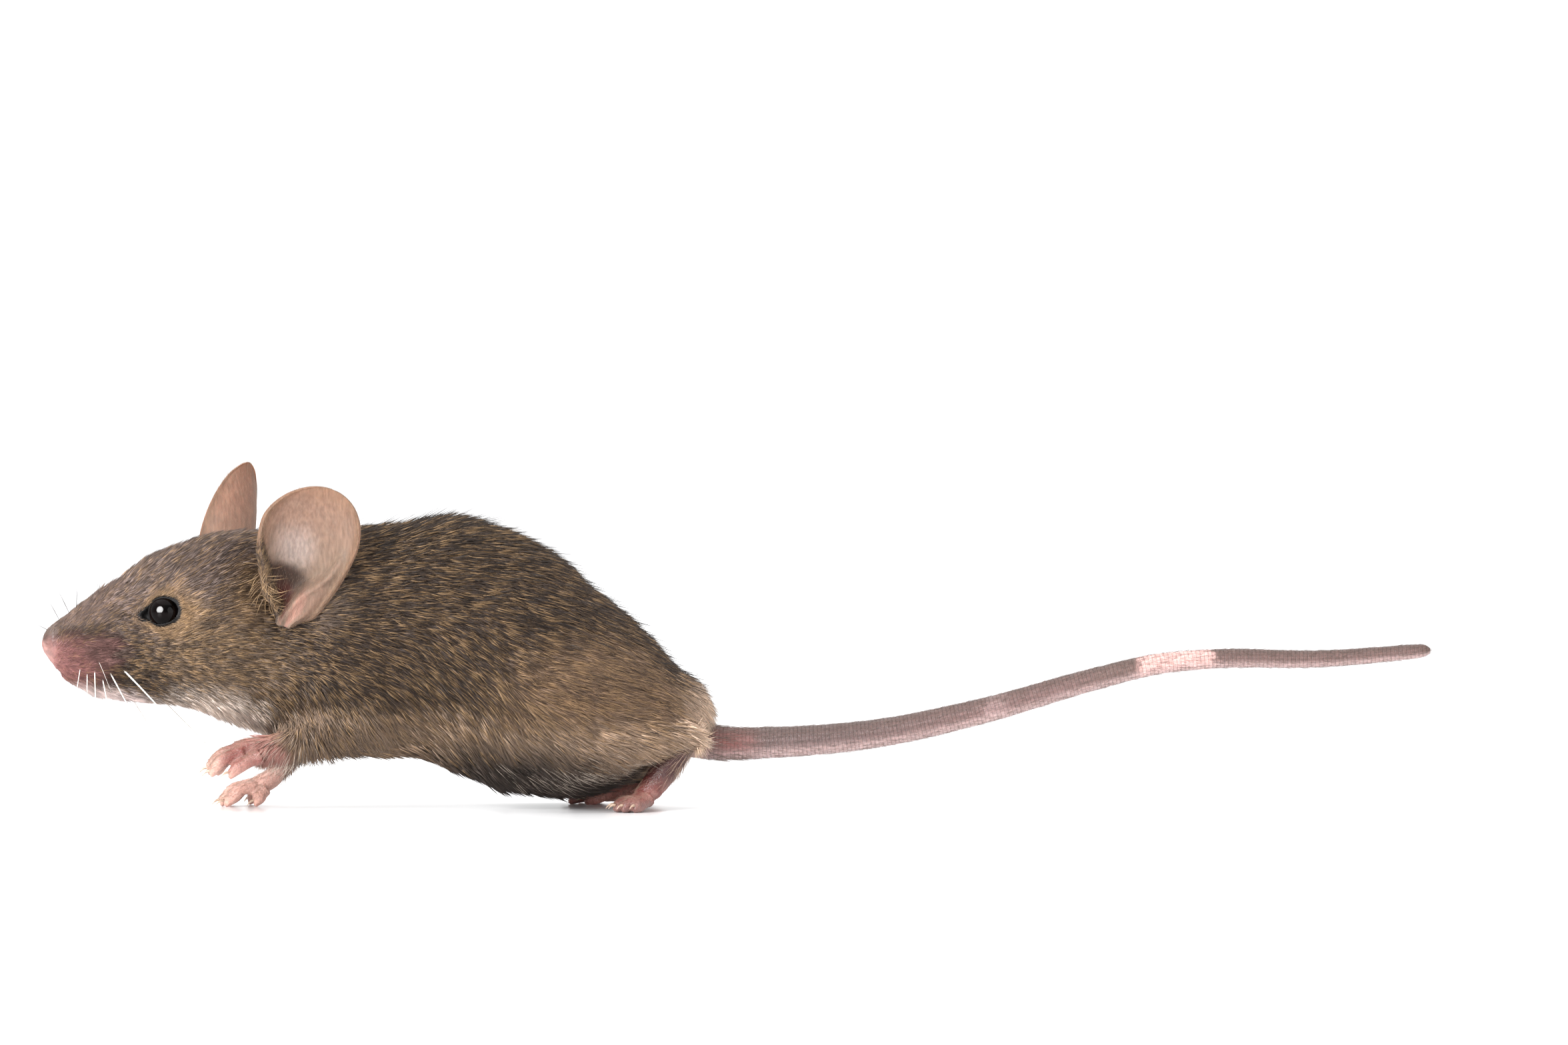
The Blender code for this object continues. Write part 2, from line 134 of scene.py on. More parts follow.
def relax(obj, rounds, where=None):
    # evens the surface out; the longer step back keeps it from shrinking
    a, b = readRows(obj.data.edges, "vertices", 2, np.int32).T
    places = placesOf(obj)
    count = np.maximum(np.bincount(np.concatenate([a, b]), minlength=len(places)), 1)
    weight = 1.0 if where is None else where(places)[:, None]
    for step in [0.6, -0.63] * rounds:
        total = np.stack([
            np.bincount(a, row[b], len(row)) + np.bincount(b, row[a], len(row)) for row in places.T
        ], 1)
        places = places + weight * step * (total / count[:, None] - places)
    movePoints(obj, places)


def selectOnly(objects):
    for obj in bpy.context.selected_objects:
        obj.select_set(False)
    for obj in objects:
        obj.select_set(True)
    bpy.context.view_layer.objects.active = objects[0]


def joined(name, parts):
    # several objects as one, keeping each one's materials and attributes
    selectOnly(parts)
    bpy.ops.object.join()
    whole = bpy.context.view_layer.objects.active
    whole.name = whole.data.name = name
    return whole


def storePoints(obj, name, values):
    kind, field = ("FLOAT", "value") if np.ndim(values) == 1 else ("FLOAT_VECTOR", "vector")
    attribute = obj.data.attributes.get(name) or obj.data.attributes.new(name, kind, "POINT")
    attribute.data.foreach_set(field, np.ascontiguousarray(values, np.float32).ravel())


def pointVectors(obj, name):
    return readRows(obj.data.attributes[name].data, "vector", 3, np.float32)


def smoothRows(rows, count):
    # a smooth curve through rows of x, y, z and whatever else they carry, in even steps
    rows = np.array(rows, float)
    at = np.concatenate([[0], np.cumsum(np.linalg.norm(np.diff(rows[:, :3], axis=0), axis=1))])
    slopes = np.gradient(rows, at, axis=0)
    wanted = np.linspace(0, at[-1], count)
    k = np.clip(np.searchsorted(at, wanted, side="right") - 1, 0, len(at) - 2)
    h = (at[k + 1] - at[k])[:, None]
    t = (wanted - at[k])[:, None] / h
    start = (2 * t**3 - 3 * t**2 + 1) * rows[k] + (t**3 - 2 * t**2 + t) * h * slopes[k]
    end = (3 * t**2 - 2 * t**3) * rows[k + 1] + (t**3 - t**2) * h * slopes[k + 1]
    return start + end


def ringFaces(rows, sides):
    return [
        (i * sides + j, i * sides + (j + 1) % sides, (i + 1) * sides + (j + 1) % sides, (i + 1) * sides + j)
        for i in range(rows - 1) for j in range(sides)
    ]


def ringsObject(name, rings, start=None, end=None):
    # faces over rings of points, closed by a point at either end where one is given
    rows, sides = len(rings), len(rings[0])
    points, faces = list(np.reshape(rings, (-1, 3))), ringFaces(rows, sides)
    for tip, first in ((start, 0), (end, (rows - 1) * sides)):
        if tip is not None:
            faces += [(len(points), first + j, first + (j + 1) % sides) for j in range(sides)]
            points.append(tip)
    obj = meshObject(name, points, faces)
    outward(obj)
    obj.data.shade_smooth()
    return obj


def tubeObject(name, line, sides, stretch=(1, 1)):
    # a round bar along rows of x, y, z and radius
    line = np.array(line, float)
    forward = np.gradient(line[:, :3], axis=0)
    forward /= np.linalg.norm(forward, axis=1)[:, None]
    side = np.cross(forward, (0, 0, 1.0)) + np.array([0, 1e-4, 0])
    side /= np.linalg.norm(side, axis=1)[:, None]
    above = np.cross(side, forward)
    turn = np.linspace(0, 2 * math.pi, sides, endpoint=False)[None, :, None]
    ring = np.cos(turn) * side[:, None] * stretch[0] + np.sin(turn) * above[:, None] * stretch[1]
    rings = line[:, None, :3] + ring * line[:, 3, None, None]
    return ringsObject(name, rings, rings[0].mean(0), rings[-1].mean(0))


def outward(obj):
    shape = bmesh.new()
    shape.from_mesh(obj.data)
    bmesh.ops.recalc_face_normals(shape, faces=shape.faces)
    shape.to_mesh(obj.data)
    shape.free()
    obj.data.update()


def place(tree, kind, inputs=None, **settings):
    # a node with its settings; an input is a number, a colour or another node's output
    node = tree.nodes.new(kind)
    for key, value in settings.items():
        setattr(node, key, value)
    for key, value in (inputs or {}).items():
        if isinstance(value, bpy.types.NodeSocket):
            tree.links.new(value, node.inputs[key])
        else:
            node.inputs[key].default_value = value
    return node


def openGroup(tree, takes, gives):
    # what a group takes and gives, and the sockets of its two ends
    for sockets, way in ((takes, "INPUT"), (gives, "OUTPUT")):
        for label, kind in sockets.items():
            tree.interface.new_socket(label, in_out=way, socket_type="NodeSocket" + kind)
    return place(tree, "NodeGroupInput").outputs, place(tree, "NodeGroupOutput").inputs


def maths(tree, operation, *values):
    return place(tree, "ShaderNodeMath", dict(enumerate(values)), operation=operation).outputs[0]


def times(tree, *values):
    return maths(tree, "MULTIPLY", *values)


def vectorMaths(tree, operation, *values):
    keys = (0, "Scale") if operation == "SCALE" else (0, 1)
    node = place(tree, "ShaderNodeVectorMath", dict(zip(keys, values)), operation=operation)
    return node.outputs["Value" if operation in ("LENGTH", "DOT_PRODUCT") else "Vector"]


def scaled(tree, vector, share):
    return vectorMaths(tree, "SCALE", vector, share)


def partsOf(tree, vector):
    return place(tree, "ShaderNodeSeparateXYZ", {0: vector}).outputs


def mixed(tree, share, a, b):
    return place(tree, "ShaderNodeMix", {0: share, 6: a, 7: b}, data_type="RGBA").outputs[2]


def ramp(tree, value, start, end, low=0.0, high=1.0):
    return place(tree, "ShaderNodeMapRange", {0: value, 1: start, 2: end, 3: low, 4: high},
                 interpolation_type="SMOOTHSTEP").outputs[0]


def noise(tree, where, scale, detail=2.0, what="Fac"):
    inputs = {"Vector": where, "Scale": scale, "Detail": detail}
    return place(tree, "ShaderNodeTexNoise", inputs).outputs[what]


def cells(tree, where, scale):
    return place(tree, "ShaderNodeTexVoronoi", {"Vector": where, "Scale": scale}).outputs["Distance"]


def newMaterial(name, roughness, specular, **others):
    made = bpy.data.materials.new(name)
    made.use_nodes = True
    shader = made.node_tree.nodes["Principled BSDF"].inputs
    shader["Roughness"].default_value = roughness
    shader["Specular IOR Level"].default_value = specular
    for key, value in others.items():
        shader[key.replace("_", " ")].default_value = value
    return made, made.node_tree, shader


cameraSetup = {"aim": (5.5, 0, 33), "distance": 1100, "elevation": 1.2, "width": 181.1, "sensor": 36}


def makeCamera():
    lean = math.radians(cameraSetup["elevation"])
    far = cameraSetup["distance"] * mm
    data = bpy.data.cameras.new("camera")
    data.sensor_width = cameraSetup["sensor"]
    data.lens = cameraSetup["sensor"] * cameraSetup["distance"] / cameraSetup["width"]
    data.clip_start, data.clip_end = 0.05, 60
    camera = addToScene("camera", data)
    camera.location = Vector(cameraSetup["aim"]) * mm + Vector((0, -math.cos(lean), math.sin(lean))) * far
    camera.rotation_euler = (math.pi / 2 - lean, 0, 0)
    bpy.context.scene.camera = camera


studio = {
    "behind": 1.25,  # brightness of the backdrop
    "above": 1.0,
    "front": 0.6,
    "floor": (0.93, 0.93, 0.94, 1),
    "floorRoughness": 0.22,
    "lightsAim": (-0.02, 0, 0.02),
    "lights": {  # x, y, z and size in metres, watts
        "key": (-0.50, -0.68, 0.33, 0.50, 13.0),
        "top": (0.05, 0.25, 1.3, 2.4, 17.0),
        "fill": (0.7, -0.6, 0.25, 0.8, 5.0),
        "eyes": (-0.48, -0.70, 0.30, 0.80, 170.0),  # shines on the eyes alone
    },
}


def makeStudio():
    world = bpy.data.worlds.new("studio")
    world.use_nodes = True
    bpy.context.scene.world = world
    tree = world.node_tree
    parts = partsOf(tree, place(tree, "ShaderNodeTexCoord").outputs["Generated"])
    depth = ramp(tree, parts[1], -0.35, 0.35, studio["front"], studio["behind"])
    high = ramp(tree, parts[2], 0.25, 0.8)
    blend = {0: high, 2: depth, 3: studio["above"]}
    strength = place(tree, "ShaderNodeMix", blend, data_type="FLOAT").outputs[0]
    background = tree.nodes["Background"].inputs
    tree.links.new(strength, background["Strength"])
    background["Color"].default_value = (1, 1, 1, 1)
    for name, (x, y, z, size, watts) in studio["lights"].items():
        data = bpy.data.lights.new(name, "AREA")
        data.shape, data.size, data.energy = "DISK", size, watts
        light = addToScene(name, data)
        light.location = (x, y, z)
        way = Vector(studio["lightsAim"]) - light.location
        light.rotation_euler = way.to_track_quat("-Z", "Y").to_euler()
    # the last of them is the eyes' own
    light.light_linking.receiver_collection = bpy.data.collections.new("litByEyeLight")

    floor = meshObject("floor", [(-6, -6, 0), (6, -6, 0), (6, 6, 0), (-6, 6, 0)], [(0, 1, 2, 3)], scale=1)
    paint, _, shader = newMaterial("floorPaint", studio["floorRoughness"], 0.5)
    shader["Base Color"].default_value = studio["floor"]
    floor.data.materials.append(paint)


makeCamera()
makeStudio()
print("camera, floor and lights are up")


def pairs(*names):
    return [name + side for name in names for side in ("_left", "_right")]


furNodes = ["nose", "head", "neck", "chest", "belly", "rump"]
furNodes += pairs("upper_arm", "forearm", "thigh", "shank")
bareNodes = [*pairs("forepaw", "hind_foot", "ear"), "tail_root", "tail_middle", "tail_pale_band", "tail_end"]
eyeNodes = pairs("eye")

bodySkin = {
    "voxel": 0.58,
    "fatten": 0.3,  # closes the cuts between the solids
    "fattenEye": 0.55,
    "rounds": 45,
    "settle": 4,
    "blend": 6,
    "coatX": [-80.3, -78.5, -75.0, -71.0, -66.0, -58.0, -50.0, -40.0, -15.0, -3.0],
    "coatDepth": [0.03, 0.05, 0.16, 0.30, 0.42, 0.60, 0.85, 1.05, 1.10, 0.90],
    "legDepth": 0.55,
    "arm": [("z", 9.0, 5.5), ("x", -58, -54), ("x", -46, -50)],
    "foot": [("z", 5.5, 3.0), ("y", 3.0, 5.0)],
    "fineFrom": [-57.0, -72.5],  # the head has twice the points, and the muzzle twice as many again
    "fineRoundEye": 3.1,
}

# soft swellings and hollows of the face and the rump: centre, reach, height, all on both sides
relief = {
    "nosePad": ((-79.6, 0.0, 19.0), (1.2, 1.4, 1.5), 0.20),
    "nosePadTop": ((-78.9, 0.0, 20.7), (0.5, 1.1, 0.4), -0.10),
    "nostrilWing": ((-79.3, 1.15, 19.6), (0.6, 0.6, 0.35), 0.14),
    "whiskerPad": ((-76.6, 2.0, 16.4), (2.6, 1.7, 2.0), 0.26),
    "chin": ((-75.0, 0.0, 13.2), (2.4, 1.8, 0.9), 0.15),
    "bridge": ((-73.5, 0.0, 25.3), (4.0, 1.2, 1.2), 0.12),
    "tearTrough": ((-68.8, 3.9, 21.8), (1.3, 1.2, 0.7), -0.18),
    "rumpTop": ((-5.6, 2.0, 14.0), (4.5, 7.0, 3.4), 0.55),
    "rumpEnd": ((-1.6, 0.0, 9.4), (3.2, 5.0, 3.0), -1.0),
}

# grooves of the face: points along each one, half width, depth, and how proud its edges stand
faceCreases = {
    "nostril": ([(-79.95, 0.75, 19.0), (-79.55, 1.2, 18.75), (-79.05, 1.5, 18.95)], 0.24, 0.46, 0.08),
    "philtrum": ([(-80.3, 0.0, 18.6), (-79.6, 0.0, 17.3), (-78.3, 0.0, 15.9)], 0.20, 0.30, 0.05),
    "mouth": ([(-78.4, 0, 15.9), (-77.6, 1.2, 15.1), (-75.8, 2.2, 14.5), (-73.4, 3, 14.3), (-71, 3.6, 14.7)],
              0.26, 0.42, 0.14),
}

eyeShape = {
    "radius": 1.86,
    "cornea": 0.06,
    "opening": (1.80, 1.52),  # half width and half height between the lids
    "corner": 1.0,  # how far the front corner runs on towards the nose
    "tilt": 9,
    "outward": (-0.16, 0.97, 0.16),
    "lid": 0.16,
    "socket": 0.8,  # from the ball's surface in to the skin behind it
    "corneaReach": 0.75,
    "rows": 36,
    "columns": 56,
    # the rest are for the lids: how far they spread, and shares of the opening
    "spread": 5,
    "behind": -1.5,
    "cornerX": 0.6,
    "narrow": 0.35,
    "darkEdge": (1.42, 1.20),
    "inside": (0.86, 1.0),
    "outside": (1.6, 1.05),
    "last": 1.7,
}


def coatDepth(places):
    # how far the skin lies inside the tips of the coat
    depth = np.interp(places[:, 0], bodySkin["coatX"], bodySkin["coatDepth"])
    leg = softZone(places, bodySkin["arm"]) + softZone(mirrored(places), bodySkin["foot"])
    return depth + (bodySkin["legDepth"] - depth) * np.clip(leg, 0, 1)


def makeBody():
    whole = bmesh.new()
    for node in furNodes + eyeNodes:  # the eyes close their own sockets, and the lids open them again
        part = bmesh.new()
        part.from_mesh(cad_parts[node].data)
        bmesh.ops.remove_doubles(part, verts=part.verts, dist=1e-6)
        part.normal_update()
        thicker = bodySkin["fattenEye" if node in eyeNodes else "fatten"]
        for vertex in part.verts:
            vertex.co += vertex.normal * thicker * mm
        loose = bpy.data.meshes.new("loose")
        part.to_mesh(loose)
        whole.from_mesh(loose)
        part.free()
        bpy.data.meshes.remove(loose)
    body = meshObject("body", [], [])
    whole.to_mesh(body.data)
    whole.free()
    remesh(body, bodySkin["voxel"])
    relax(body, bodySkin["rounds"])
    pushOut(body, -(bodySkin["fatten"] + coatDepth(placesOf(body))))
    relax(body, bodySkin["settle"])
    for limit in bodySkin["fineFrom"]:
        refine(body, lambda p, x=limit: p.x < x)
        relax(body, bodySkin["blend"], lambda p, x=limit: smoothStep(p[:, 0], x - 0.2, x - 1.2))
    for centre, reach, height in relief.values():
        swell(body, centre, reach, height)
    for line, width, depth, edge in faceCreases.values():
        crease(body, line, width, depth, edge)
    centres = [Vector(eyeFrame(side)[0]) for side in (left, right)]
    refine(body, lambda p: min((p - c).length for c in centres) < bodySkin["fineRoundEye"])
    makeLids(body)
    body.data.shade_smooth()
    return body


def refine(obj, within):
    shape = bmesh.new()
    shape.from_mesh(obj.data)
    chosen = {vertex.index for vertex in shape.verts if within(vertex.co / mm)}
    edges = [e for e in shape.edges if e.verts[0].index in chosen and e.verts[1].index in chosen]
    bmesh.ops.subdivide_edges(shape, edges=edges, cuts=1, use_grid_fill=True)
    shape.to_mesh(obj.data)
    shape.free()
    obj.data.update()


def swell(obj, centre, reach, height):
    share = np.linalg.norm((mirrored(placesOf(obj)) - centre) / reach, axis=1)
    pushOut(obj, height * (1 - np.clip(share, 0, 1) ** 2) ** 2)


def crease(obj, line, width, depth, edge):
    places = mirrored(placesOf(obj))
    line = smoothRows(line, 24)
    gap, along = np.full(len(places), 9.0), np.zeros(len(places))
    for k, (start, end) in enumerate(zip(line, line[1:])):
        step = end - start
        share = np.clip((places - start) @ step / step.dot(step), 0, 1)
        away = np.linalg.norm(places - start - share[:, None] * step, axis=1)
        along = np.where(away < gap, (k + share) / (len(line) - 1), along)
        gap = np.minimum(gap, away)
    fade = np.clip(5 * along, 0.5, 1) * np.clip(5 * (1 - along), 0, 1)
    push = edge * np.exp(-(((gap - 2 * width) / width) ** 2)) - depth * np.exp(-((gap / width) ** 2))
    pushOut(obj, push * fade)


def eyeFrame(side):
    # the eye's centre, and its own forward, up and outward directions
    low, high = (np.array(c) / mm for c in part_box("eye_left" if side == left else "eye_right"))
    outside = np.array(eyeShape["outward"]) * (1, side, 1)
    outside /= np.linalg.norm(outside)
    tilt = math.radians(eyeShape["tilt"])
    forward = np.array([-math.cos(tilt), 0, -math.sin(tilt)])
    forward -= outside * forward.dot(outside)
    forward /= np.linalg.norm(forward)
    above = np.cross(outside, forward) * side
    return (low + high) / 2, forward, above * np.sign(above[2]), outside


def lidShare(places, side):
    # 1 on the edge between the lids, less on the eye, more on the face
    centre, forward, above, outside = eyeFrame(side)
    away = places - centre
    along, high = away @ forward, away @ above
    wide, tall = eyeShape["opening"]
    corner = smoothStep(along, eyeShape["cornerX"], wide + 0.4)
    wide = wide + eyeShape["corner"] * smoothStep(along, 0, wide)
    tall = tall * (1 - eyeShape["narrow"] * corner)
    share = np.sqrt((along / wide) ** 2 + (high / tall) ** 2)
    return share, along, high, away @ outside


def makeLids(body):
    places, look = placesOf(body), eyeShape
    edges = np.zeros(len(places))
    for side in (left, right):
        share, along, high, depth = lidShare(places, side)
        centre, *_, outside = eyeFrame(side)
        near = (np.linalg.norm(places - centre, axis=1) < look["spread"]) & (depth > look["behind"])
        edges = np.where(near, smoothStep(share, *look["darkEdge"]), edges)
        ball = np.sqrt(np.clip(look["radius"] ** 2 - along**2 - high**2, 0.09, None))
        inside, rim = ball - look["socket"], ball + look["lid"]
        target = np.where(
            share < 1,
            inside + (rim - inside) * smoothStep(share, *look["inside"]),
            depth + (np.maximum(rim, depth - 0.1) - depth) * smoothStep(share, *look["outside"]),
        )
        places = places + np.where(near & (share < look["last"]), target - depth, 0)[:, None] * outside
    movePoints(body, places)
    storePoints(body, "lidEdge", edges)


# each ear: root, the way its tip points, the way it opens, radius of its cup, where it is widest
ears = {
    "left": {
        "root": (-51.6, -6.5, 21.6), "tip": (0.36, -0.22, 0.90), "opening": (-0.16, -0.97, -0.18),
        "length": 16.7, "width": 11.8, "cup": 7.6, "widest": 0.64, "taper": 0.5,
        "front": 0.34, "rear": -0.12, "lean": -0.5, "folds": True,
    },
    "right": {
        "root": (-58.6, 6.2, 23.2), "tip": (0.10, 0.18, 0.98), "opening": (-0.80, 0.60, 0.0),
        "length": 17.0, "width": 12.0, "cup": 4.4, "widest": 0.30, "taper": 0.68,
        "front": 0.0, "rear": 0.0, "lean": 0.0, "folds": False,
    },
}
earShape = {
    "rootShare": 0.42,
    "funnel": 2.3,
    "back": 0.9,
    "thickness": (0.55, 0.20),  # at the root and at the rim
    "rows": 60,
    "columns": 80,
    # share of the height, and place across there
    "ridge": ((0.0, -1.0), (0.10, -0.6), (0.25, 0.4), (0.34, 1.6), (0.46, 2.8), (0.6, 3.2)),
    "ridgeHeight": 0.75,
    "ridgeWidth": 0.6,
    "lobeHeight": 1.5,
    "conchDepth": 0.63,
    "conchTop": (0.47, 0.30),
    "foldTop": (0.66, 0.42),
    "ribs": 0.07,
    "ribPitch": 2.1,
    "rim": (0.09, 0.86, 0.98),  # height of the thick edge, and where it begins and is full
}


def earSurface(ear, v, across, outer):
    # v runs from root to tip, across from the front edge at -1 to the rear one at 1
    shape = earShape
    rootShare, widest = shape["rootShare"], ear["widest"]
    half = ear["width"] / 2 * (rootShare + (1 - rootShare) * np.sin(math.pi / 2 * np.minimum(1, v / widest)))
    half *= 0.5 + 0.5 * smoothStep(v, 0.0, 0.14)
    end = np.clip((v - widest) / (1.0004 - widest), 0, 1)
    half = np.where(v > widest, ear["width"] / 2 * (1 - end**2) ** ear["taper"], half)
    half = half * (1 + np.where(across < 0, ear["front"], ear["rear"]) * np.sin(math.pi * v))
    radius = shape["funnel"] + (ear["cup"] - shape["funnel"]) * np.minimum(1, v / 0.7)
    hollow = shape["back"] * np.sin(math.pi * np.minimum(1, 1.1 * v))
    turn = half / radius * across
    thick, thin = shape["thickness"]
    wall = thick + (thin - thick) * smoothStep(v, 0.1, 0.75)
    proud, *edge = shape["rim"]
    rim = smoothStep(np.abs(across), *edge) * proud * smoothStep(v, 0.1, 0.4)
    reach = radius + np.where(outer, wall / 2 + rim, -wall / 2 - rim)
    forward = radius - np.cos(turn) * reach - hollow
    if ear["folds"]:
        spot = np.sin(turn) * radius
        line = np.interp(v, *zip(*shape["ridge"]))
        ridge = np.exp(-(((spot - line - 0.2) / shape["ridgeWidth"]) ** 2)) * shape["ridgeHeight"]
        lobe = smoothStep(spot, line - 0.6, line + 0.5) * smoothStep(across, 1.05, 0.55) * shape["lobeHeight"]
        bowl = smoothStep(spot, line - 0.2, line - 1.2) * smoothStep(v, *shape["conchTop"])
        conch = bowl * shape["conchDepth"]
        wave = np.sin(spot * shape["ribPitch"] + 3 * v)
        ribs = wave * smoothStep(v, 0.4, 0.6) * np.sin(math.pi * v) * shape["ribs"]
        forward += np.where(outer, 0, ridge + lobe) * smoothStep(v, *shape["foldTop"]) - conch + ribs
    side = np.sin(turn) * reach + ear["lean"] * v * v
    up = np.array(ear["tip"]) / np.linalg.norm(ear["tip"])
    out = np.array(ear["opening"], float)
    out -= up * out.dot(up)
    out /= np.linalg.norm(out)
    aside = np.cross(up, out)
    ways = ((v * ear["length"], up), (side, aside), (forward, out))
    return np.array(ear["root"]) + sum(np.multiply.outer(far, way) for far, way in ways)


def makeEar(name):
    columns = earShape["columns"]
    heights = np.maximum(np.sin(math.pi / 2 * np.linspace(-0.06, 1, earShape["rows"] + 1)), 0) ** 0.9
    turn = np.linspace(0, 2 * math.pi, columns, endpoint=False)
    across, outer = np.sin(turn), np.cos(turn) < 0
    rings, chart = [], []
    for height in heights:
        v = np.full(columns, height)
        rings.append(earSurface(ears[name], v, across, outer))
        chart.append(np.stack([v, across, outer], 1))
    obj = ringsObject("ear", rings, end=rings[-1].mean(0))
    storePoints(obj, "earPlace", np.vstack([*chart, (1, 0, 0)]))
    return obj


tailShape = {
    "line": [
        (-7.5, 0.0, 8.3), (-1.8, -0.1, 7.5), (4.3, -0.3, 7.6), (16.6, -0.7, 8.7), (29.0, -0.9, 11.4),
        (41.3, -0.4, 14.9), (48.5, 0.2, 16.6), (55.1, 0.7, 17.2), (67.5, 1.2, 17.2), (80.25, 1.2, 18.2),
    ],
    "radiusX": [-7.5, 0, 10, 23, 32, 46, 61, 78, 80.3],
    "radius": [2.2, 1.85, 1.72, 1.55, 1.42, 1.22, 1.06, 0.86, 0.72],
    "tip": 1.2,  # length of the rounded end
    "scale": 0.46,  # from one ring of scales to the next
    "relief": 0.045,
    "notch": 0.018,
    "scalesRound": 16,
    "sides": 26,
    "rowsPerScale": 2,
}


def tailLine(count):
    rows = smoothRows(tailShape["line"], count)
    return np.column_stack([rows, np.interp(rows[:, 0], tailShape["radiusX"], tailShape["radius"])])


def makeTail():
    shape, steps, sides = tailShape, tailShape["rowsPerScale"], tailShape["sides"]
    length = np.linalg.norm(np.diff(smoothRows(shape["line"], 200), axis=0), axis=1).sum()
    rows = int(length / shape["scale"]) * steps + 1
    line = tailLine(rows)
    rise = shape["relief"] * (np.arange(rows) % steps / steps - 0.5)
    line[:, 3] += rise * np.clip(line[:, 3], 0.9, 1.5) / 1.2
    tip = np.clip((shape["radiusX"][-1] - line[:, 0]) / shape["tip"], 0.04, 1)
    line[:, 3] *= np.sqrt(1 - (1 - tip) ** 2)
    obj = tubeObject("tail", line, sides)
    turn = np.tile(np.linspace(0, 2 * math.pi, sides, endpoint=False), rows)
    chart = np.column_stack([np.repeat(np.arange(rows) / steps, sides), np.cos(turn), np.sin(turn)])
    chart = np.vstack([chart, chart[0], chart[-1]])
    storePoints(obj, "ringPlace", chart)
    # scales notch each ring's rear edge
    angle, ring = np.arctan2(chart[:, 2], chart[:, 1]), np.floor(chart[:, 0])
    wave = np.cos(angle * shape["scalesRound"] + ring % 2 * math.pi)
    pushOut(obj, shape["notch"] * wave * (chart[:, 0] - ring))
    return obj


# bare feet: first the sole and then the toes, each as x, y, z and radius from the ankle to the pads
paws = {
    "forepawLeft": [
        [(-50.6, -6, 7.3, 0.9), (-52.6, -6.1, 7.1, 1.15), (-53.8, -6.2, 7, 1.3), (-55.8, -6.1, 7.1, 1.5),
         (-57.4, -6.2, 6.8, 1.35)],
        [(-56.6, -7.2, 6.7, 0.95), (-58.4, -7.7, 6.1, 0.8), (-59.6, -7.9, 5.2, 0.66),
         (-60.1, -7.9, 4.5, 0.62)],
        [(-57, -6.2, 7, 1), (-58.9, -6.3, 6.5, 0.8), (-60, -6.3, 5.5, 0.68), (-60.5, -6.3, 4.8, 0.62)],
        [(-56.6, -5.2, 6.7, 0.95), (-58.2, -4.9, 6.2, 0.78), (-59.2, -4.8, 5.2, 0.64),
         (-59.6, -4.7, 4.5, 0.6)],
        [(-54.8, -7.3, 6.3, 1.1), (-56.2, -8, 5.6, 0.8), (-57.4, -8.3, 4.8, 0.66), (-57.9, -8.4, 4.3, 0.58)],
    ],
    "forepawRight": [
        [(-52.2, 3.4, 5.2, 1.2), (-52.9, 3.5, 4.4, 1.2), (-54, 3.6, 3.2, 1.35), (-55.4, 3.8, 2.5, 1.3),
         (-56.5, 3.9, 2.2, 1.05)],
        [(-55.9, 2.9, 2.2, 0.9), (-57.4, 2.2, 2, 0.76), (-58.5, 1.8, 1, 0.68), (-59, 1.7, 0.6, 0.62)],
        [(-56.5, 3.7, 2.3, 0.95), (-58, 3.5, 2.1, 0.78), (-59.1, 3.4, 1.1, 0.68), (-59.6, 3.3, 0.6, 0.62)],
        [(-56.1, 4.7, 2.2, 0.9), (-57.4, 5.1, 1.9, 0.76), (-58.3, 5.4, 1, 0.66), (-58.7, 5.5, 0.6, 0.6)],
        [(-54.8, 5, 2, 0.9), (-55.6, 6, 1.7, 0.76), (-56.2, 6.6, 0.95, 0.66), (-56.5, 6.9, 0.6, 0.6)],
        [(-54.7, 2.8, 2, 0.9), (-55.2, 2.3, 1.2, 0.75), (-55.6, 2.1, 0.6, 0.62)],
    ],
    "hindFootLeft": [
        [(-5.2, -6.2, 9.3, 1.4), (-5.9, -6.4, 8.2, 1.7), (-7.5, -6.8, 5.8, 1.9), (-9.3, -7.3, 3.2, 1.7),
         (-10.8, -7.8, 1.5, 1.35)],
        [(-10, -9, 1.4, 0.85), (-10.9, -10.6, 0.9, 0.72), (-11.5, -11.6, 0.6, 0.62)],
        [(-10.5, -8.7, 1.4, 0.9), (-11.9, -10.3, 1, 0.74), (-12.8, -11.4, 0.6, 0.62)],
        [(-10.8, -8.2, 1.4, 0.9), (-12.5, -9.5, 1, 0.74), (-13.6, -10.4, 0.6, 0.62)],
        [(-10.9, -7.5, 1.4, 0.9), (-12.7, -8.4, 1, 0.74), (-13.8, -9, 0.6, 0.62)],
        [(-10.6, -6.9, 1.3, 0.8), (-12, -7, 0.8, 0.7), (-13, -7.1, 0.6, 0.6)],
    ],
    "hindFootRight": [
        [(-8.9, 4.9, 4, 1.5), (-9.2, 5, 3.2, 1.5), (-9.8, 5.2, 1.9, 1.5), (-12.4, 6.6, 1.7, 1.42),
         (-15.4, 8.2, 1.5, 1.42)],
        [(-14.6, 9.2, 1.3, 0.85), (-15.8, 10.7, 0.9, 0.72), (-16.6, 11.8, 0.6, 0.62)],
        [(-15.3, 9, 1.4, 0.9), (-17, 10.5, 1.1, 0.74), (-18.3, 11.5, 0.6, 0.62)],
        [(-15.6, 8.4, 1.4, 0.9), (-17.7, 9.4, 1.1, 0.74), (-19.2, 10.2, 0.6, 0.62)],
        [(-15.6, 7.7, 1.4, 0.9), (-17.7, 8.1, 1.1, 0.74), (-19.3, 8.4, 0.6, 0.62)],
        [(-14.9, 7, 1.3, 0.8), (-16.3, 6.7, 0.8, 0.7), (-17.4, 6.5, 0.6, 0.6)],
    ],
}
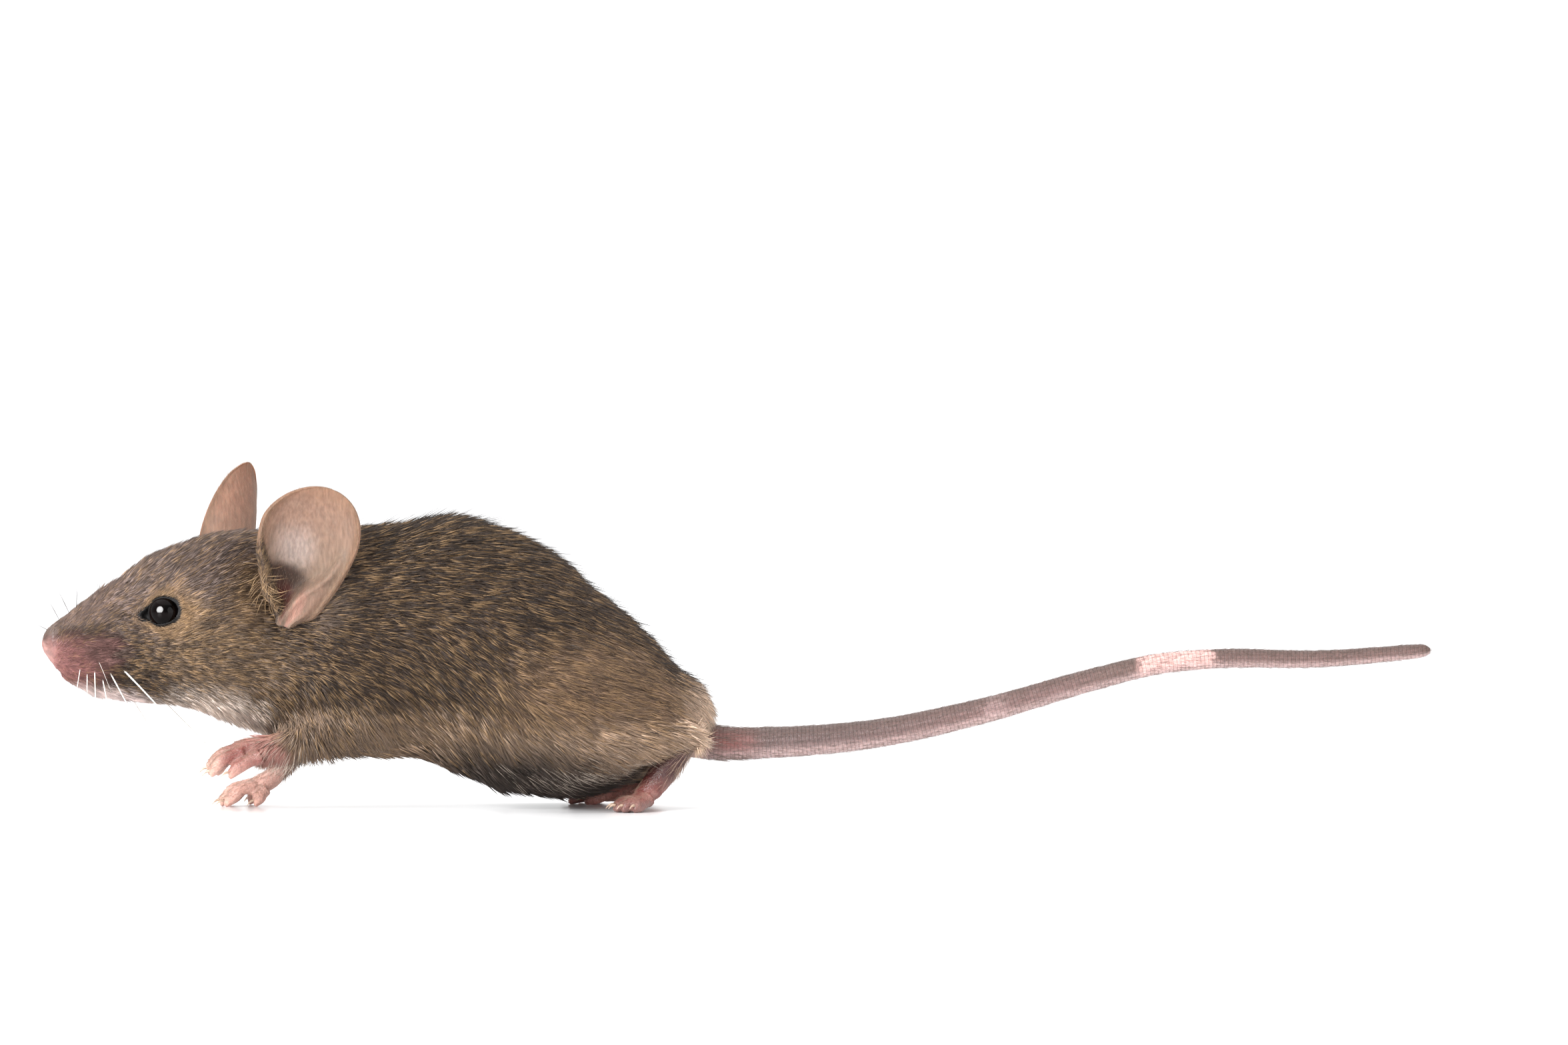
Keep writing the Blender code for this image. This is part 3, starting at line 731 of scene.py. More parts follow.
hindX = (-30.0, -25.0)  # from the forepaws back to the hind feet
pawLook = {
    "voxel": 0.20,
    "rounds": 5,
    "knuckle": 0.10,
    "crease": 0.014,
    "creasePitch": 0.62,
    "creaseWay": (0.78, 0.22, 0.60),
    "flat": 0.86,  # height of the sole for its width
    # from the toe's end; radius
    "pad": [((0.35, 0, -0.12), 0.3), ((0, 0, -0.12), 0.56), ((-0.3, 0, -0.05), 0.3)],
}
floorGap = {"paw": 0.02, "claw": 0.03, "hair": 0.02}
clawLook = {"length": 1.05, "radius": 0.19, "tip": 0.012, "hook": 0.32, "arch": 0.10, "seat": (0.25, 0.24)}


def makePaw(name):
    sole, *toes = paws[name]
    parts = [tubeObject("sole", smoothRows(sole, 16), 18, (1, pawLook["flat"]))]
    t = np.linspace(0, 1, 22)
    for toe in toes:
        line = smoothRows(toe, len(t))
        line[:, 3] *= 1 - pawLook["knuckle"] * np.sin(math.pi * 2.0 * t) * smoothStep(t, 0.05, 0.25)
        parts.append(tubeObject("toe", line, 16))
        pad = [(*(line[-1, :3] + move), radius) for move, radius in pawLook["pad"]]
        parts.append(tubeObject("pad", pad, 12))
    obj = joined(name, parts)
    remesh(obj, pawLook["voxel"])
    relax(obj, pawLook["rounds"])
    # fine folds across the toes, from the ankle forwards
    run = placesOf(obj) @ np.array(pawLook["creaseWay"]) * 2 * math.pi / pawLook["creasePitch"]
    pushOut(obj, pawLook["crease"] * np.sin(run) * smoothStep(normalsOf(obj)[:, 2], -0.2, 0.5))
    keepAbove(obj, floorGap["paw"])
    obj.data.shade_smooth()
    return obj


def makeClaws():
    parts = []
    ahead, above = clawLook["seat"]
    for toe in [toe for _, *toes in paws.values() for toe in toes]:
        last, before = np.array(toe[-1][:3]), np.array(toe[-2][:3])
        way = (last - before) * (1, 1, 0.25)
        way /= np.linalg.norm(way)
        start = last + (0, 0, above) + way * ahead
        line = []
        for t in np.linspace(0, 1, 9):
            drop = clawLook["hook"] * t**2.2 - clawLook["arch"] * math.sin(math.pi * t)
            radius = clawLook["radius"] * (1 - t) ** 0.75 + clawLook["tip"]
            line.append((*(start + way * clawLook["length"] * t - (0, 0, drop)), radius))
        parts.append(tubeObject("claw", line, 10, (0.72, 1)))
    claws = joined("claws", parts)
    keepAbove(claws, floorGap["claw"])
    return claws


# whiskers on the left: x and z of the root, the way it points, length, thickness at the root
paleWhiskers = [
    (-70.6, 16.1, (0.66, -0.42, -0.62), 15.0, 0.20), (-72.1, 15.7, (0.46, -0.45, -0.76), 13.5, 0.16),
    (-73.9, 15.9, (0.05, -0.50, -0.86), 11.0, 0.13), (-73.0, 15.0, (0.20, -0.50, -0.84), 10.5, 0.12),
    (-74.8, 15.6, (0.02, -0.45, -0.88), 9.0, 0.11), (-75.6, 16.2, (-0.12, -0.50, -0.84), 7.5, 0.09),
    (-73.4, 17.0, (0.20, -0.94, -0.26), 9.0, 0.05),
]
darkWhiskers = [
    (-76.2, 23.1, (0.02, -0.25, 0.96), 3.6, 0.045), (-77.1, 22.6, (-0.42, -0.2, 0.88), 3.2, 0.04),
    (-78.3, 21.9, (-0.46, -0.2, 0.86), 2.4, 0.04), (-79.6, 20.6, (-0.86, -0.2, 0.45), 1.8, 0.035),
    (-73.6, 24.6, (-0.06, -0.3, 0.95), 2.2, 0.035), (-66.8, 26.0, (0.30, -0.75, 0.58), 5.5, 0.05),
    (-65.9, 25.9, (0.45, -0.75, 0.48), 4.5, 0.045), (-61.5, 16.5, (0.60, -0.78, -0.15), 5.0, 0.05),
]


def makeWhiskers(name, body, table, sag, *look):
    # each one springs from the skin and bends under its own weight; the right side has the same
    tree = BVHTree.FromObject(body, bpy.context.evaluated_depsgraph_get())
    parts = []
    for x, z, way, length, thick in table:
        for side in (left, right):
            hit = tree.ray_cast(Vector((x, side * 30, z)) * mm, Vector((0, -side, 0)))[0]
            root = np.array(hit if hit else (x * mm, 0, z * mm)) / mm
            ahead = np.array(way) * (1, -side, 1) / np.linalg.norm(way)
            line = []
            for t in np.linspace(-0.03, 1, 14):
                bend = sag * length * t * t * np.array((0.25, 0, -1))
                radius = thick / 2 * (1 - np.clip(t, 0, 1)) ** 0.8 + 0.006
                line.append((*(root + ahead * length * t + bend), radius))
            parts.append(tubeObject("whisker", line, 6))
    whiskers = joined(name, parts)
    whiskers.data.materials.append(whiskerMaterial(*look))
    declare(whiskers, "fur")


def makeEye(side):
    # a ball with the clear bulge of the cornea on its front
    centre, forward, above, outside = eyeFrame(side)
    radius, cornea = eyeShape["radius"], eyeShape["cornea"]
    turn = np.linspace(0, 2 * math.pi, eyeShape["columns"], endpoint=False)[:, None]
    around = forward * np.cos(turn) + above * np.sin(turn)
    rings = []
    for slope in np.linspace(0, math.pi, eyeShape["rows"] + 1)[1:-1]:
        reach = radius + cornea * math.exp(-((slope / eyeShape["corneaReach"]) ** 2))
        rings.append(centre + (outside * math.cos(slope) + around * math.sin(slope)) * reach)
    name = "eyeball_left" if side == left else "eyeball_right"
    return ringsObject(name, rings, centre + outside * (radius + cornea), centre - outside * radius)


# which way the coat lies, from nose to tail: a place on the left side, and the way the hairs point there
coatLie = [
    ((-79, -0.5, 20.5), (0.6, -0.2, 0.8)), ((-75, -1.5, 23), (0.9, -0.1, 0.45)),
    ((-75, -3, 17.5), (0.9, -0.2, 0.05)), ((-75, -2, 14), (0.9, -0.1, -0.25)),
    ((-69, -1, 27), (0.9, 0, 0.35)), ((-69, -4.5, 19), (1, 0, 0.05)), ((-66, -4.5, 26), (0.9, 0, 0.35)),
    ((-66, -5.3, 18.5), (1, 0, 0.1)), ((-62, -6, 22.5), (0.95, 0, 0.22)),
    ((-62, -5.5, 27.5), (0.85, 0, 0.4)), ((-61, -6.5, 15.5), (1, 0, 0)), ((-64, 0, 30), (1, 0, 0.2)),
    ((-66, -2.5, 12.5), (1, 0, -0.15)), ((-60, -3.5, 11), (0.9, 0, -0.4)),
    ((-56, -7, 18.5), (0.95, 0, -0.1)), ((-56, -6, 12), (0.75, 0, -0.6)), ((-53, -3, 9), (0.55, 0, -0.8)),
    ((-57, 0, 31.5), (1, 0, 0.1)), ((-50, 0, 32.5), (1, 0, 0)), ((-50, -8, 26), (1, 0, 0.05)),
    ((-50, -8.5, 18.5), (0.95, 0, -0.25)), ((-50, -8, 12), (0.6, 0, -0.8)), ((-42, 0, 32.5), (1, 0, -0.05)),
    ((-42, -9, 25), (1, 0, -0.1)), ((-44, -10.5, 17), (0.95, 0, -0.45)), ((-44, -9, 11), (0.6, 0, -0.8)),
    ((-47, -5, 7), (0.5, 0, -0.85)), ((-33, 0, 33.5), (1, 0, -0.1)), ((-34, -9, 26), (1, 0, -0.25)),
    ((-32, -11, 17), (0.9, 0, -0.6)), ((-36, -10, 10), (0.75, 0, -0.7)), ((-38, -5, 6), (0.6, 0, -0.75)),
    ((-24, 0, 30.5), (0.95, 0, -0.4)), ((-22, -9.5, 24), (0.95, 0, -0.45)),
    ((-21, -12.5, 15), (1, 0, -0.35)), ((-28, -11.5, 11), (0.75, 0, -0.75)),
    ((-22, -12, 9), (0.8, 0, -0.6)), ((-26, -10, 6), (0.8, 0, -0.58)), ((-18, -10.5, 5.5), (0.9, 0, -0.42)),
    ((-14, -8, 20.5), (0.95, 0, -0.45)), ((-13, -11, 13.5), (1, 0, -0.2)), ((-13, -10, 8), (1, 0, -0.4)),
    ((-13, 0, 23), (0.8, 0, -0.65)), ((-7, -5, 14.5), (0.9, 0, -0.4)), ((-6, -6.5, 9.5), (1, 0, -0.3)),
    ((-4, -2, 12), (0.8, 0, -0.55)), ((-30, 0, 2.5), (1, 0, 0)), ((-18, 0, 1.5), (1, 0, 0.05)),
    ((-45, 0, 6), (1, 0, 0)), ((-8, -3, 5), (1, 0, 0.2)), ((-52, -6.3, 7.2), (-0.3, 0, -0.8)),
]
furLook = {
    "lengthX": [-80.0, -78.5, -76.0, -71.5, -66.0, -60.0, -54.0, -46.0, -32.0, -15.0, -3.0],
    "length": [0.30, 0.50, 0.90, 1.60, 2.10, 2.40, 2.65, 2.90, 3.15, 3.25, 2.90],
    "legLength": 1.5,
    "arm": [("z", 9.5, 6.5), ("x", -46, -51)],
    "foot": [("z", 7.5, 4.5), ("x", -17, -11)],
    "throat": [("z", 14.5, 11.0), ("x", -71, -65), ("x", -49, -54)],
    "nearEye": 4.5,
    "eyeShortest": 0.42,
    "eyeGrows": (1.1, 2.3),  # in shares of the opening between the lids, as the next one
    "lidsBare": (1.10, 1.22),
    "noseBare": (-79.3, -78.0),
    "noseTop": (19.8, 20.8),
    "denseLength": 2.2,  # shorter hairs than this stand closer
    "crowding": (0.7, 2.6),
    "overDepth": 0.85,  # of the coat's depth, for how far its hairs rise
    "faceLift": 0.12,
    "faceX": (-56, -62),
    "throatLift": 0.25,
    "lifts": (0.05, 0.6),
    "guardShare": 1.35,  # guard hairs for the coat's own length
    "sharpness": 5.5,  # how quickly one way of lying gives over to the next
    "margin": 0.004,  # round the maps that the tufts' patches lie on
}

# every stretch of the coat: tufts, width for their length, scatter, seed, kind of tuft
coatPieces = {
    "muzzle": (17000, 0.085, 0.22, 11, "bristle"),
    "crown": (24800, 0.066, 0.18, 12, "lock"),
    "cheek_left": (30000, 0.060, 0.17, 13, "lock"),
    "cheek_right": (18000, 0.078, 0.17, 14, "lock"),
    "back": (31200, 0.047, 0.16, 15, "lock"),
    "flank_left": (32500, 0.045, 0.15, 16, "lock"),
    "flank_right": (18500, 0.066, 0.15, 17, "lock"),
    "haunch_left": (32500, 0.045, 0.15, 18, "lock"),
    "haunch_right": (18500, 0.066, 0.15, 19, "lock"),
    "belly": (12200, 0.070, 0.20, 20, "lock"),
}


def combBody(body):
    places = placesOf(body)
    x, y, z = places.T
    onLeft = mirrored(places) * (1, -1, 1)
    lie, total = np.zeros_like(places), np.zeros(len(places))
    for anchor, way in coatLie:
        far = np.linalg.norm(onLeft - anchor, axis=1)
        weight = 1 / (0.8 + far**2) ** (furLook["sharpness"] / 2)
        lie += weight[:, None] * (np.array(way) / np.linalg.norm(way))
        total += weight
    lie /= total[:, None]
    lie[:, 1] *= np.where(y > 0, -1.0, 1.0)
    length = np.interp(x, furLook["lengthX"], furLook["length"])
    leg = softZone(places, furLook["arm"]) + softZone(places, furLook["foot"])
    length += (furLook["legLength"] - length) * np.clip(leg, 0, 1)
    density = np.ones(len(places))
    for side in (left, right):  # short round the eye, and none on its lids
        share, shortest = lidShare(places, side)[0], furLook["eyeShortest"]
        near = np.linalg.norm(places - eyeFrame(side)[0], axis=1) < furLook["nearEye"]
        grown = shortest + (1 - shortest) * smoothStep(share, *furLook["eyeGrows"])
        length = np.where(near, length * grown, length)
        density = np.where(near, density * smoothStep(share, *furLook["lidsBare"]), density)
    # the tip of the nose is bare
    density *= np.clip(smoothStep(x, *furLook["noseBare"]) + 0.25 * smoothStep(z, *furLook["noseTop"]), 0, 1)
    density *= np.clip(furLook["denseLength"] / length, *furLook["crowding"])
    lift = furLook["overDepth"] * coatDepth(places) / length
    lift = lift + furLook["faceLift"] * smoothStep(x, *furLook["faceX"])
    lift = lift + furLook["throatLift"] * softZone(places, furLook["throat"])
    comb(body, lie, length, np.clip(lift, *furLook["lifts"]), density)


def comb(obj, lie, length, lift, density):
    # what each tuft needs to know about the skin that it grows from
    outside, count = normalsOf(obj), len(obj.data.vertices)
    flat = lie - outside * np.sum(lie * outside, axis=1)[:, None]
    storePoints(obj, "lie", flat / np.maximum(np.linalg.norm(flat, axis=1), 1e-6)[:, None])
    storePoints(obj, "out", outside)
    storePoints(obj, "hairLength", np.full(count, length * mm))
    storePoints(obj, "hairLift", np.full(count, lift))
    storePoints(obj, "hairDensity", density)


# hairs apart from the coat, with the same values and then their arch: long ones that stand out of it, and
# fine ones on ears, tail and feet
sparsePieces = {
    "fringe": (3000, 0.017, 0.22, 31, "strand", 0.10),
    "guardHairs": (4800, 0.024, 0.20, 32, "strand", 0.12),
    "earTufts": (80, 0.040, 0.30, 33, "strand", 0.25),
    "earFur": (5200, 0.070, 0.32, 37, "bristle", 0.0),
    "earHairs": (5200, 0.050, 0.25, 34, "bristle", 0.0),
    "tailHairs": (7000, 0.032, 0.15, 35, "bristle", 0.0),
    "pawHairs": (800, 0.036, 0.25, 36, "bristle", 0.0),
}


# where the fringe grows: along the flank's lower edge, over the root of the tail, on the throat
fringeZones = [
    [("x", -43, -36), ("z", 8.0, 6.0), ("y", 5.5, 8.0), ("z", 3.2, 4.4)],
    [("x", -7.0, -4.0), ("z", 7.0, 8.5)],
    [("x", -71, -66), ("x", -48, -52), ("z", 14.5, 12.0)],
]


# anywhere, and how much more at the rear and on the throat
fringeLook = {"length": (4.6, -1.2, -1.6), "lift": (0.16, 0.10, 0.20)}


def combFringe(body):
    # pale hairs that hang out of the coat
    edge, rear, throat = (softZone(mirrored(placesOf(body)), zone) for zone in fringeZones)
    length, lift = (
        usual + atRear * rear + onThroat * throat for usual, atRear, onThroat in fringeLook.values())
    return pointVectors(body, "lie"), length, lift, np.clip(edge + 1.1 * rear + throat, 0, 3)


guardLook = {"up": (-0.1, 0.6), "fromX": (-62, -50), "fromZ": (6, 11), "sides": 0.25, "lift": 0.26}


def combGuardHairs(body):
    x, _, z = placesOf(body).T
    length = np.interp(x, furLook["lengthX"], furLook["length"]) * furLook["guardShare"]
    top, sides = smoothStep(normalsOf(body)[:, 2], *guardLook["up"]), guardLook["sides"]
    density = smoothStep(x, *guardLook["fromX"]) * (sides + (1 - sides) * top)
    density *= smoothStep(z, *guardLook["fromZ"])
    return pointVectors(body, "lie"), length, guardLook["lift"] + 0.14 * top, density


earCombs = {
    "tufts": {"front": (-0.74, -0.92), "low": (0.02, 0.06), "top": (0.36, 0.28), "length": 2.7, "lift": 0.25},
    "fur": {"front": (-0.72, -0.95), "rear": (1.0, 0.6), "reach": (0.16, 0.30), "length": 1.5, "lift": 0.22},
    "down": {"edge": (0.7, 1.0), "root": (0.4, 0.1), "length": 0.34, "lift": 0.12},
}


def earWays(shell, ear):
    tip, opening = np.array(ear["tip"]), np.array(ear["opening"])
    return pointVectors(shell, "earPlace").T, tip, np.cross(tip, opening)


def combEarTufts(shell, ear):
    # buff tufts from the front edge, which reach over the opening
    (high, across, _), tip, aside = earWays(shell, ear)
    look = earCombs["tufts"]
    density = smoothStep(across, *look["front"])
    density *= smoothStep(high, *look["low"]) * smoothStep(high, *look["top"])
    return aside + 0.30 * tip + 0.45 * np.array(ear["opening"]), look["length"], look["lift"], density


def combEarFur(shell, ear):
    # the coat of the head climbs a little way up the outside of each ear
    (high, across, outer), tip, aside = earWays(shell, ear)
    look = earCombs["fur"]
    front = smoothStep(across, *look["front"])
    reach = look["reach"][0] + look["reach"][1] * front
    behind = outer * smoothStep(across, *look["rear"])
    cover = np.maximum(behind, front * (1 - 0.4 * smoothStep(high, 0.2, 0.4)))
    density = smoothStep(high, reach + 0.10, reach - 0.10) * cover
    return tip + 0.35 * aside, look["length"] - 0.6 * smoothStep(high, 0.1, 0.5), look["lift"], density


def combEar(shell, ear):
    (high, across, outer), tip, aside = earWays(shell, ear)
    look = earCombs["down"]
    edge = smoothStep(np.abs(across), *look["edge"])
    length = look["length"] + 0.10 * edge + 0.4 * smoothStep(high, *look["root"])
    density = np.where(outer > 0.5, 1.0, 0.55 + edge)
    return tip + 0.5 * across[:, None] * aside, length, look["lift"] + 0.1 * edge, density


def combTail(tail):
    # towards the tip, and longer over the root
    x = placesOf(tail)[:, 0]
    line = tailLine(60)[:, :3]
    nearest = np.abs(x[:, None] - line[:, 0]).argmin(1)
    length, lift, density = 1.05 + 0.8 * smoothStep(x, 4, -3), 0.17, smoothStep(x, -6, -3)
    return np.gradient(line, axis=0)[nearest], length, lift, density


pawComb = {"way": (-0.8, 0, -0.5), "heelZ": (2.0, 4.5), "up": (-0.15, 0.35), "fromZ": (0.5, 1.2)}


def combPaw(paw):
    # down over the toes, and longer on the heels
    x, _, z = placesOf(paw).T
    ahead, _, above = normalsOf(paw).T
    heel = smoothStep(x, *hindX) * smoothStep(z, *pawComb["heelZ"]) * smoothStep(ahead, -0.1, 0.5)
    density = smoothStep(above, *pawComb["up"]) * smoothStep(z, *pawComb["fromZ"]) + 1.2 * heel
    length, lift = 0.85 + 0.75 * heel, 0.20 + 0.15 * heel
    return np.array(pawComb["way"]), length, lift, density


regionEdges = {  # x, height or the skin's own upward slope where one stretch gives over to the next
    "muzzleX": -71.5,
    "headX": -54,
    "flankX": -29,
    "crownSlope": 0.4,
    "backSlope": 0.5,
    "bellySlope": -0.55,
    "bellyZ": 9,
}


def coatRegion(x, y, z, up):
    # the stretches interlock along ragged edges
    x += 1.3 * math.sin(1.9 * z) + 0.7 * math.sin(5.3 * z + 2 * y)
    up += 0.12 * math.sin(1.7 * x) + 0.06 * math.sin(4.9 * x)
    ends = regionEdges
    if x < ends["muzzleX"]:
        return "muzzle"
    if x < ends["headX"]:
        return "crown" if up > ends["crownSlope"] else ("cheek_left" if y < 0 else "cheek_right")
    if up < ends["bellySlope"] and z < ends["bellyZ"]:
        return "belly"
    if up > ends["backSlope"]:
        return "back"
    return ("flank" if x < ends["flankX"] else "haunch") + ("_left" if y < 0 else "_right")


def patchOf(body, wanted):
    # the stretch of skin under one coat piece, laid out flat on its own map
    shape = bmesh.new()
    shape.from_mesh(body.data)
    others = [f for f in shape.faces if coatRegion(*(f.calc_center_median() / mm), f.normal.z) != wanted]
    bmesh.ops.delete(shape, geom=others, context="FACES")
    mesh = bpy.data.meshes.new(wanted)
    shape.to_mesh(mesh)
    shape.free()
    obj = addToScene(wanted, mesh)
    layOut(obj)
    return obj


def layOut(obj):
    # seams go where the surface turns sharply
    selectOnly([obj])
    obj.data.uv_layers.new(name="rootMap")
    bpy.ops.object.mode_set(mode="EDIT")
    bpy.ops.mesh.select_all(action="SELECT")
    margin = furLook["margin"]
    bpy.ops.uv.smart_project(angle_limit=math.radians(70), island_margin=margin)
    bpy.ops.object.mode_set(mode="OBJECT")
    layer = obj.data.uv_layers["rootMap"].uv
    spots = readRows(layer, "vector", 2, np.float32)
    low, high = spots.min(0), spots.max(0)
    layer.foreach_set("vector", (margin + (1 - 2 * margin) * (spots - low) / (high - low)).ravel())


def tuftShape(name, rings, footed, firstBand=0.0):
    # one tuft of unit length standing on the origin: rings of three points, each a height and a radius, then
    # the tip, and the foot where it has one
    turn = np.radians([90, 210, 330])
    spots = np.stack([np.cos(turn), np.sin(turn)], 1)
    points, onMap = [], []
    for k, (height, radius) in enumerate(rings):
        reach = (0.3 if footed else 0.5) * (1 - k / len(rings))
        points += [(x * radius, 0.7 * y * radius, height) for x, y in spots]
        onMap += list(spots * reach)
    tip, top = len(points), len(points) - 3
    points.append((0, 0, 1))
    onMap.append(np.zeros(2))
    faces = ringFaces(len(rings), 3) + [(top + j, top + (j + 1) % 3, tip) for j in range(3)]
    if footed:
        points.append((0, 0, -0.06))
        faces += [(tip + 1, (j + 1) % 3, j) for j in range(3)]
    obj = meshObject(name, points, faces, scale=1)
    outward(obj)
    storePoints(obj, "along", [firstBand + (1 - firstBand) * max(0, p[2]) for p in points])
    layer = obj.data.attributes.new("spikeMap", "FLOAT_VECTOR", "CORNER")
    for face in obj.data.polygons:
        middle = np.mean([onMap[v] for v in face.vertices if v <= tip], 0)
        for loop in face.loop_indices:
            v = obj.data.loops[loop].vertex_index
            spot = onMap[v] if v <= tip else 0.5 * middle / np.linalg.norm(middle)
            layer.data[loop].vector = (*spot, 0)
    return obj


tuftChance = {"length": (0.62, 1.25), "lift": (0.45, 1.5), "sway": 0.55, "clump": 4.0}


def tuftTree():
    # tufts set along the surface, each a three-sided spike that lies the way the coat does
    tree = bpy.data.node_groups.new("coatTufts", "GeometryNodeTree")
    numbers = dict.fromkeys(("Density", "Width", "Scatter", "Clump", "Clump Size", "Arch", "Patch"), "Float")
    given, result = openGroup(
        tree, {"Geometry": "Geometry", "Tuft": "Object", **numbers, "Seed": "Int", "Material": "Material"},
        {"Geometry": "Geometry"})

    def vector(operation, *values):
        return vectorMaths(tree, operation, *values)

    def named(name, kind="FLOAT"):
        node = place(tree, "GeometryNodeInputNamedAttribute", {"Name": name}, data_type=kind)
        return node.outputs["Attribute"]

    def stored(geometry, name, value, kind, domain="POINT"):
        inputs = {"Geometry": geometry, "Name": name, "Value": value}
        node = place(tree, "GeometryNodeStoreNamedAttribute", inputs, data_type=kind, domain=domain)
        return node.outputs[0]

    def chance(low, high, extra):
        seed = maths(tree, "ADD", given["Seed"], float(extra))
        kind, first, last = ("FLOAT_VECTOR", 0, 0) if isinstance(low, tuple) else ("FLOAT", 2, 1)
        inputs = {first: low, first + 1: high, "Seed": seed}
        return place(tree, "FunctionNodeRandomValue", inputs, data_type=kind).outputs[last]

    # the unit tuft, drawn to its width and arched over its upper side
    tuft = place(tree, "GeometryNodeObjectInfo", {"Object": given["Tuft"]}).outputs["Geometry"]
    x, y, z = partsOf(tree, place(tree, "GeometryNodeInputPosition").outputs[0])
    arch = times(tree, times(tree, z, maths(tree, "SUBTRACT", 1.0, z)), given["Arch"])
    high = maths(tree, "ADD", times(tree, y, given["Width"]), arch)
    bent = place(tree, "ShaderNodeCombineXYZ", {0: times(tree, x, given["Width"]), 1: high, 2: z}).outputs[0]
    spike = place(tree, "GeometryNodeSetPosition", {"Geometry": tuft, "Position": bent}).outputs[0]

    density = times(tree, given["Density"], named("hairDensity"))
    points = place(tree, "GeometryNodeDistributePointsOnFaces", {
        "Mesh": given["Geometry"], "Seed": given["Seed"], "Density": density}).outputs["Points"]
    where = place(tree, "GeometryNodeInputPosition").outputs[0]
    points = stored(points, "rootPlace", where, "FLOAT_VECTOR")
    points = stored(points, "chance", chance((0, 0, 0), (1, 1, 1), 1), "FLOAT_VECTOR")
    drift = noise(tree, where, maths(tree, "DIVIDE", 1.0, given["Clump Size"]), 1.0, "Color")
    pull = times(tree, given["Clump"], tuftChance["clump"])
    clump = scaled(tree, vector("SUBTRACT", drift, (0.5, 0.5, 0.5)), pull)
    stray = scaled(tree, chance((-1, -1, -1), (1, 1, 1), 2), given["Scatter"])
    out = named("out", "FLOAT_VECTOR")
    lie = vector("ADD", vector("ADD", named("lie", "FLOAT_VECTOR"), clump), stray)
    lie = vector("NORMALIZE", vector("SUBTRACT", lie, scaled(tree, out, vector("DOT_PRODUCT", lie, out))))
    lift = times(tree, named("hairLift"), chance(*tuftChance["lift"], 3))
    way = vector("ADD", lie, scaled(tree, out, lift))
    sway = scaled(tree, chance((-1, -1, -1), (1, 1, 1), 4), tuftChance["sway"])
    axes = {"Primary Axis": way, "Secondary Axis": vector("ADD", out, sway)}
    turn = place(tree, "FunctionNodeAxesToRotation", axes, primary_axis="Z", secondary_axis="Y").outputs[0]
    size = times(tree, named("hairLength"), chance(*tuftChance["length"], 5))
    tufts = place(tree, "GeometryNodeInstanceOnPoints", {
        "Points": points, "Instance": spike, "Rotation": turn, "Scale": size}).outputs[0]
    tufts = place(tree, "GeometryNodeRealizeInstances", {"Geometry": tufts}).outputs[0]
    onMap = scaled(tree, named("spikeMap", "FLOAT_VECTOR"), given["Patch"])
    onMap = vector("ADD", named("rootMap", "FLOAT_VECTOR"), onMap)
    tufts = stored(tufts, "OFBake", onMap, "FLOAT2", "CORNER")
    dressed = {"Geometry": tufts, "Material": given["Material"]}
    tufts = place(tree, "GeometryNodeSetMaterial", dressed).outputs[0]
    tufts = place(tree, "GeometryNodeSetShadeSmooth", {"Geometry": tufts}).outputs[0]
    tree.links.new(tufts, result[0])
    return tree


def weightedArea(mesh):
    mesh.calc_loop_triangles()
    corners = readRows(mesh.loop_triangles, "vertices", 3, np.int32)
    areas = readRows(mesh.loop_triangles, "area", 1)[:, 0]
    density = readRows(mesh.attributes["hairDensity"].data, "value", 1, np.float32)[:, 0]
    return float((areas * density[corners].mean(1)).sum())


def dropAttributes(mesh, *names):
    for name in names:
        if name in mesh.attributes:
            mesh.attributes.remove(mesh.attributes[name])


# the markings, with painted light and shade among them: colour, share of banded hairs, dark of the tips;
# first the flank's, which lies under them all
groundCoat = ((71, 58, 50), 0.42, 0.60)
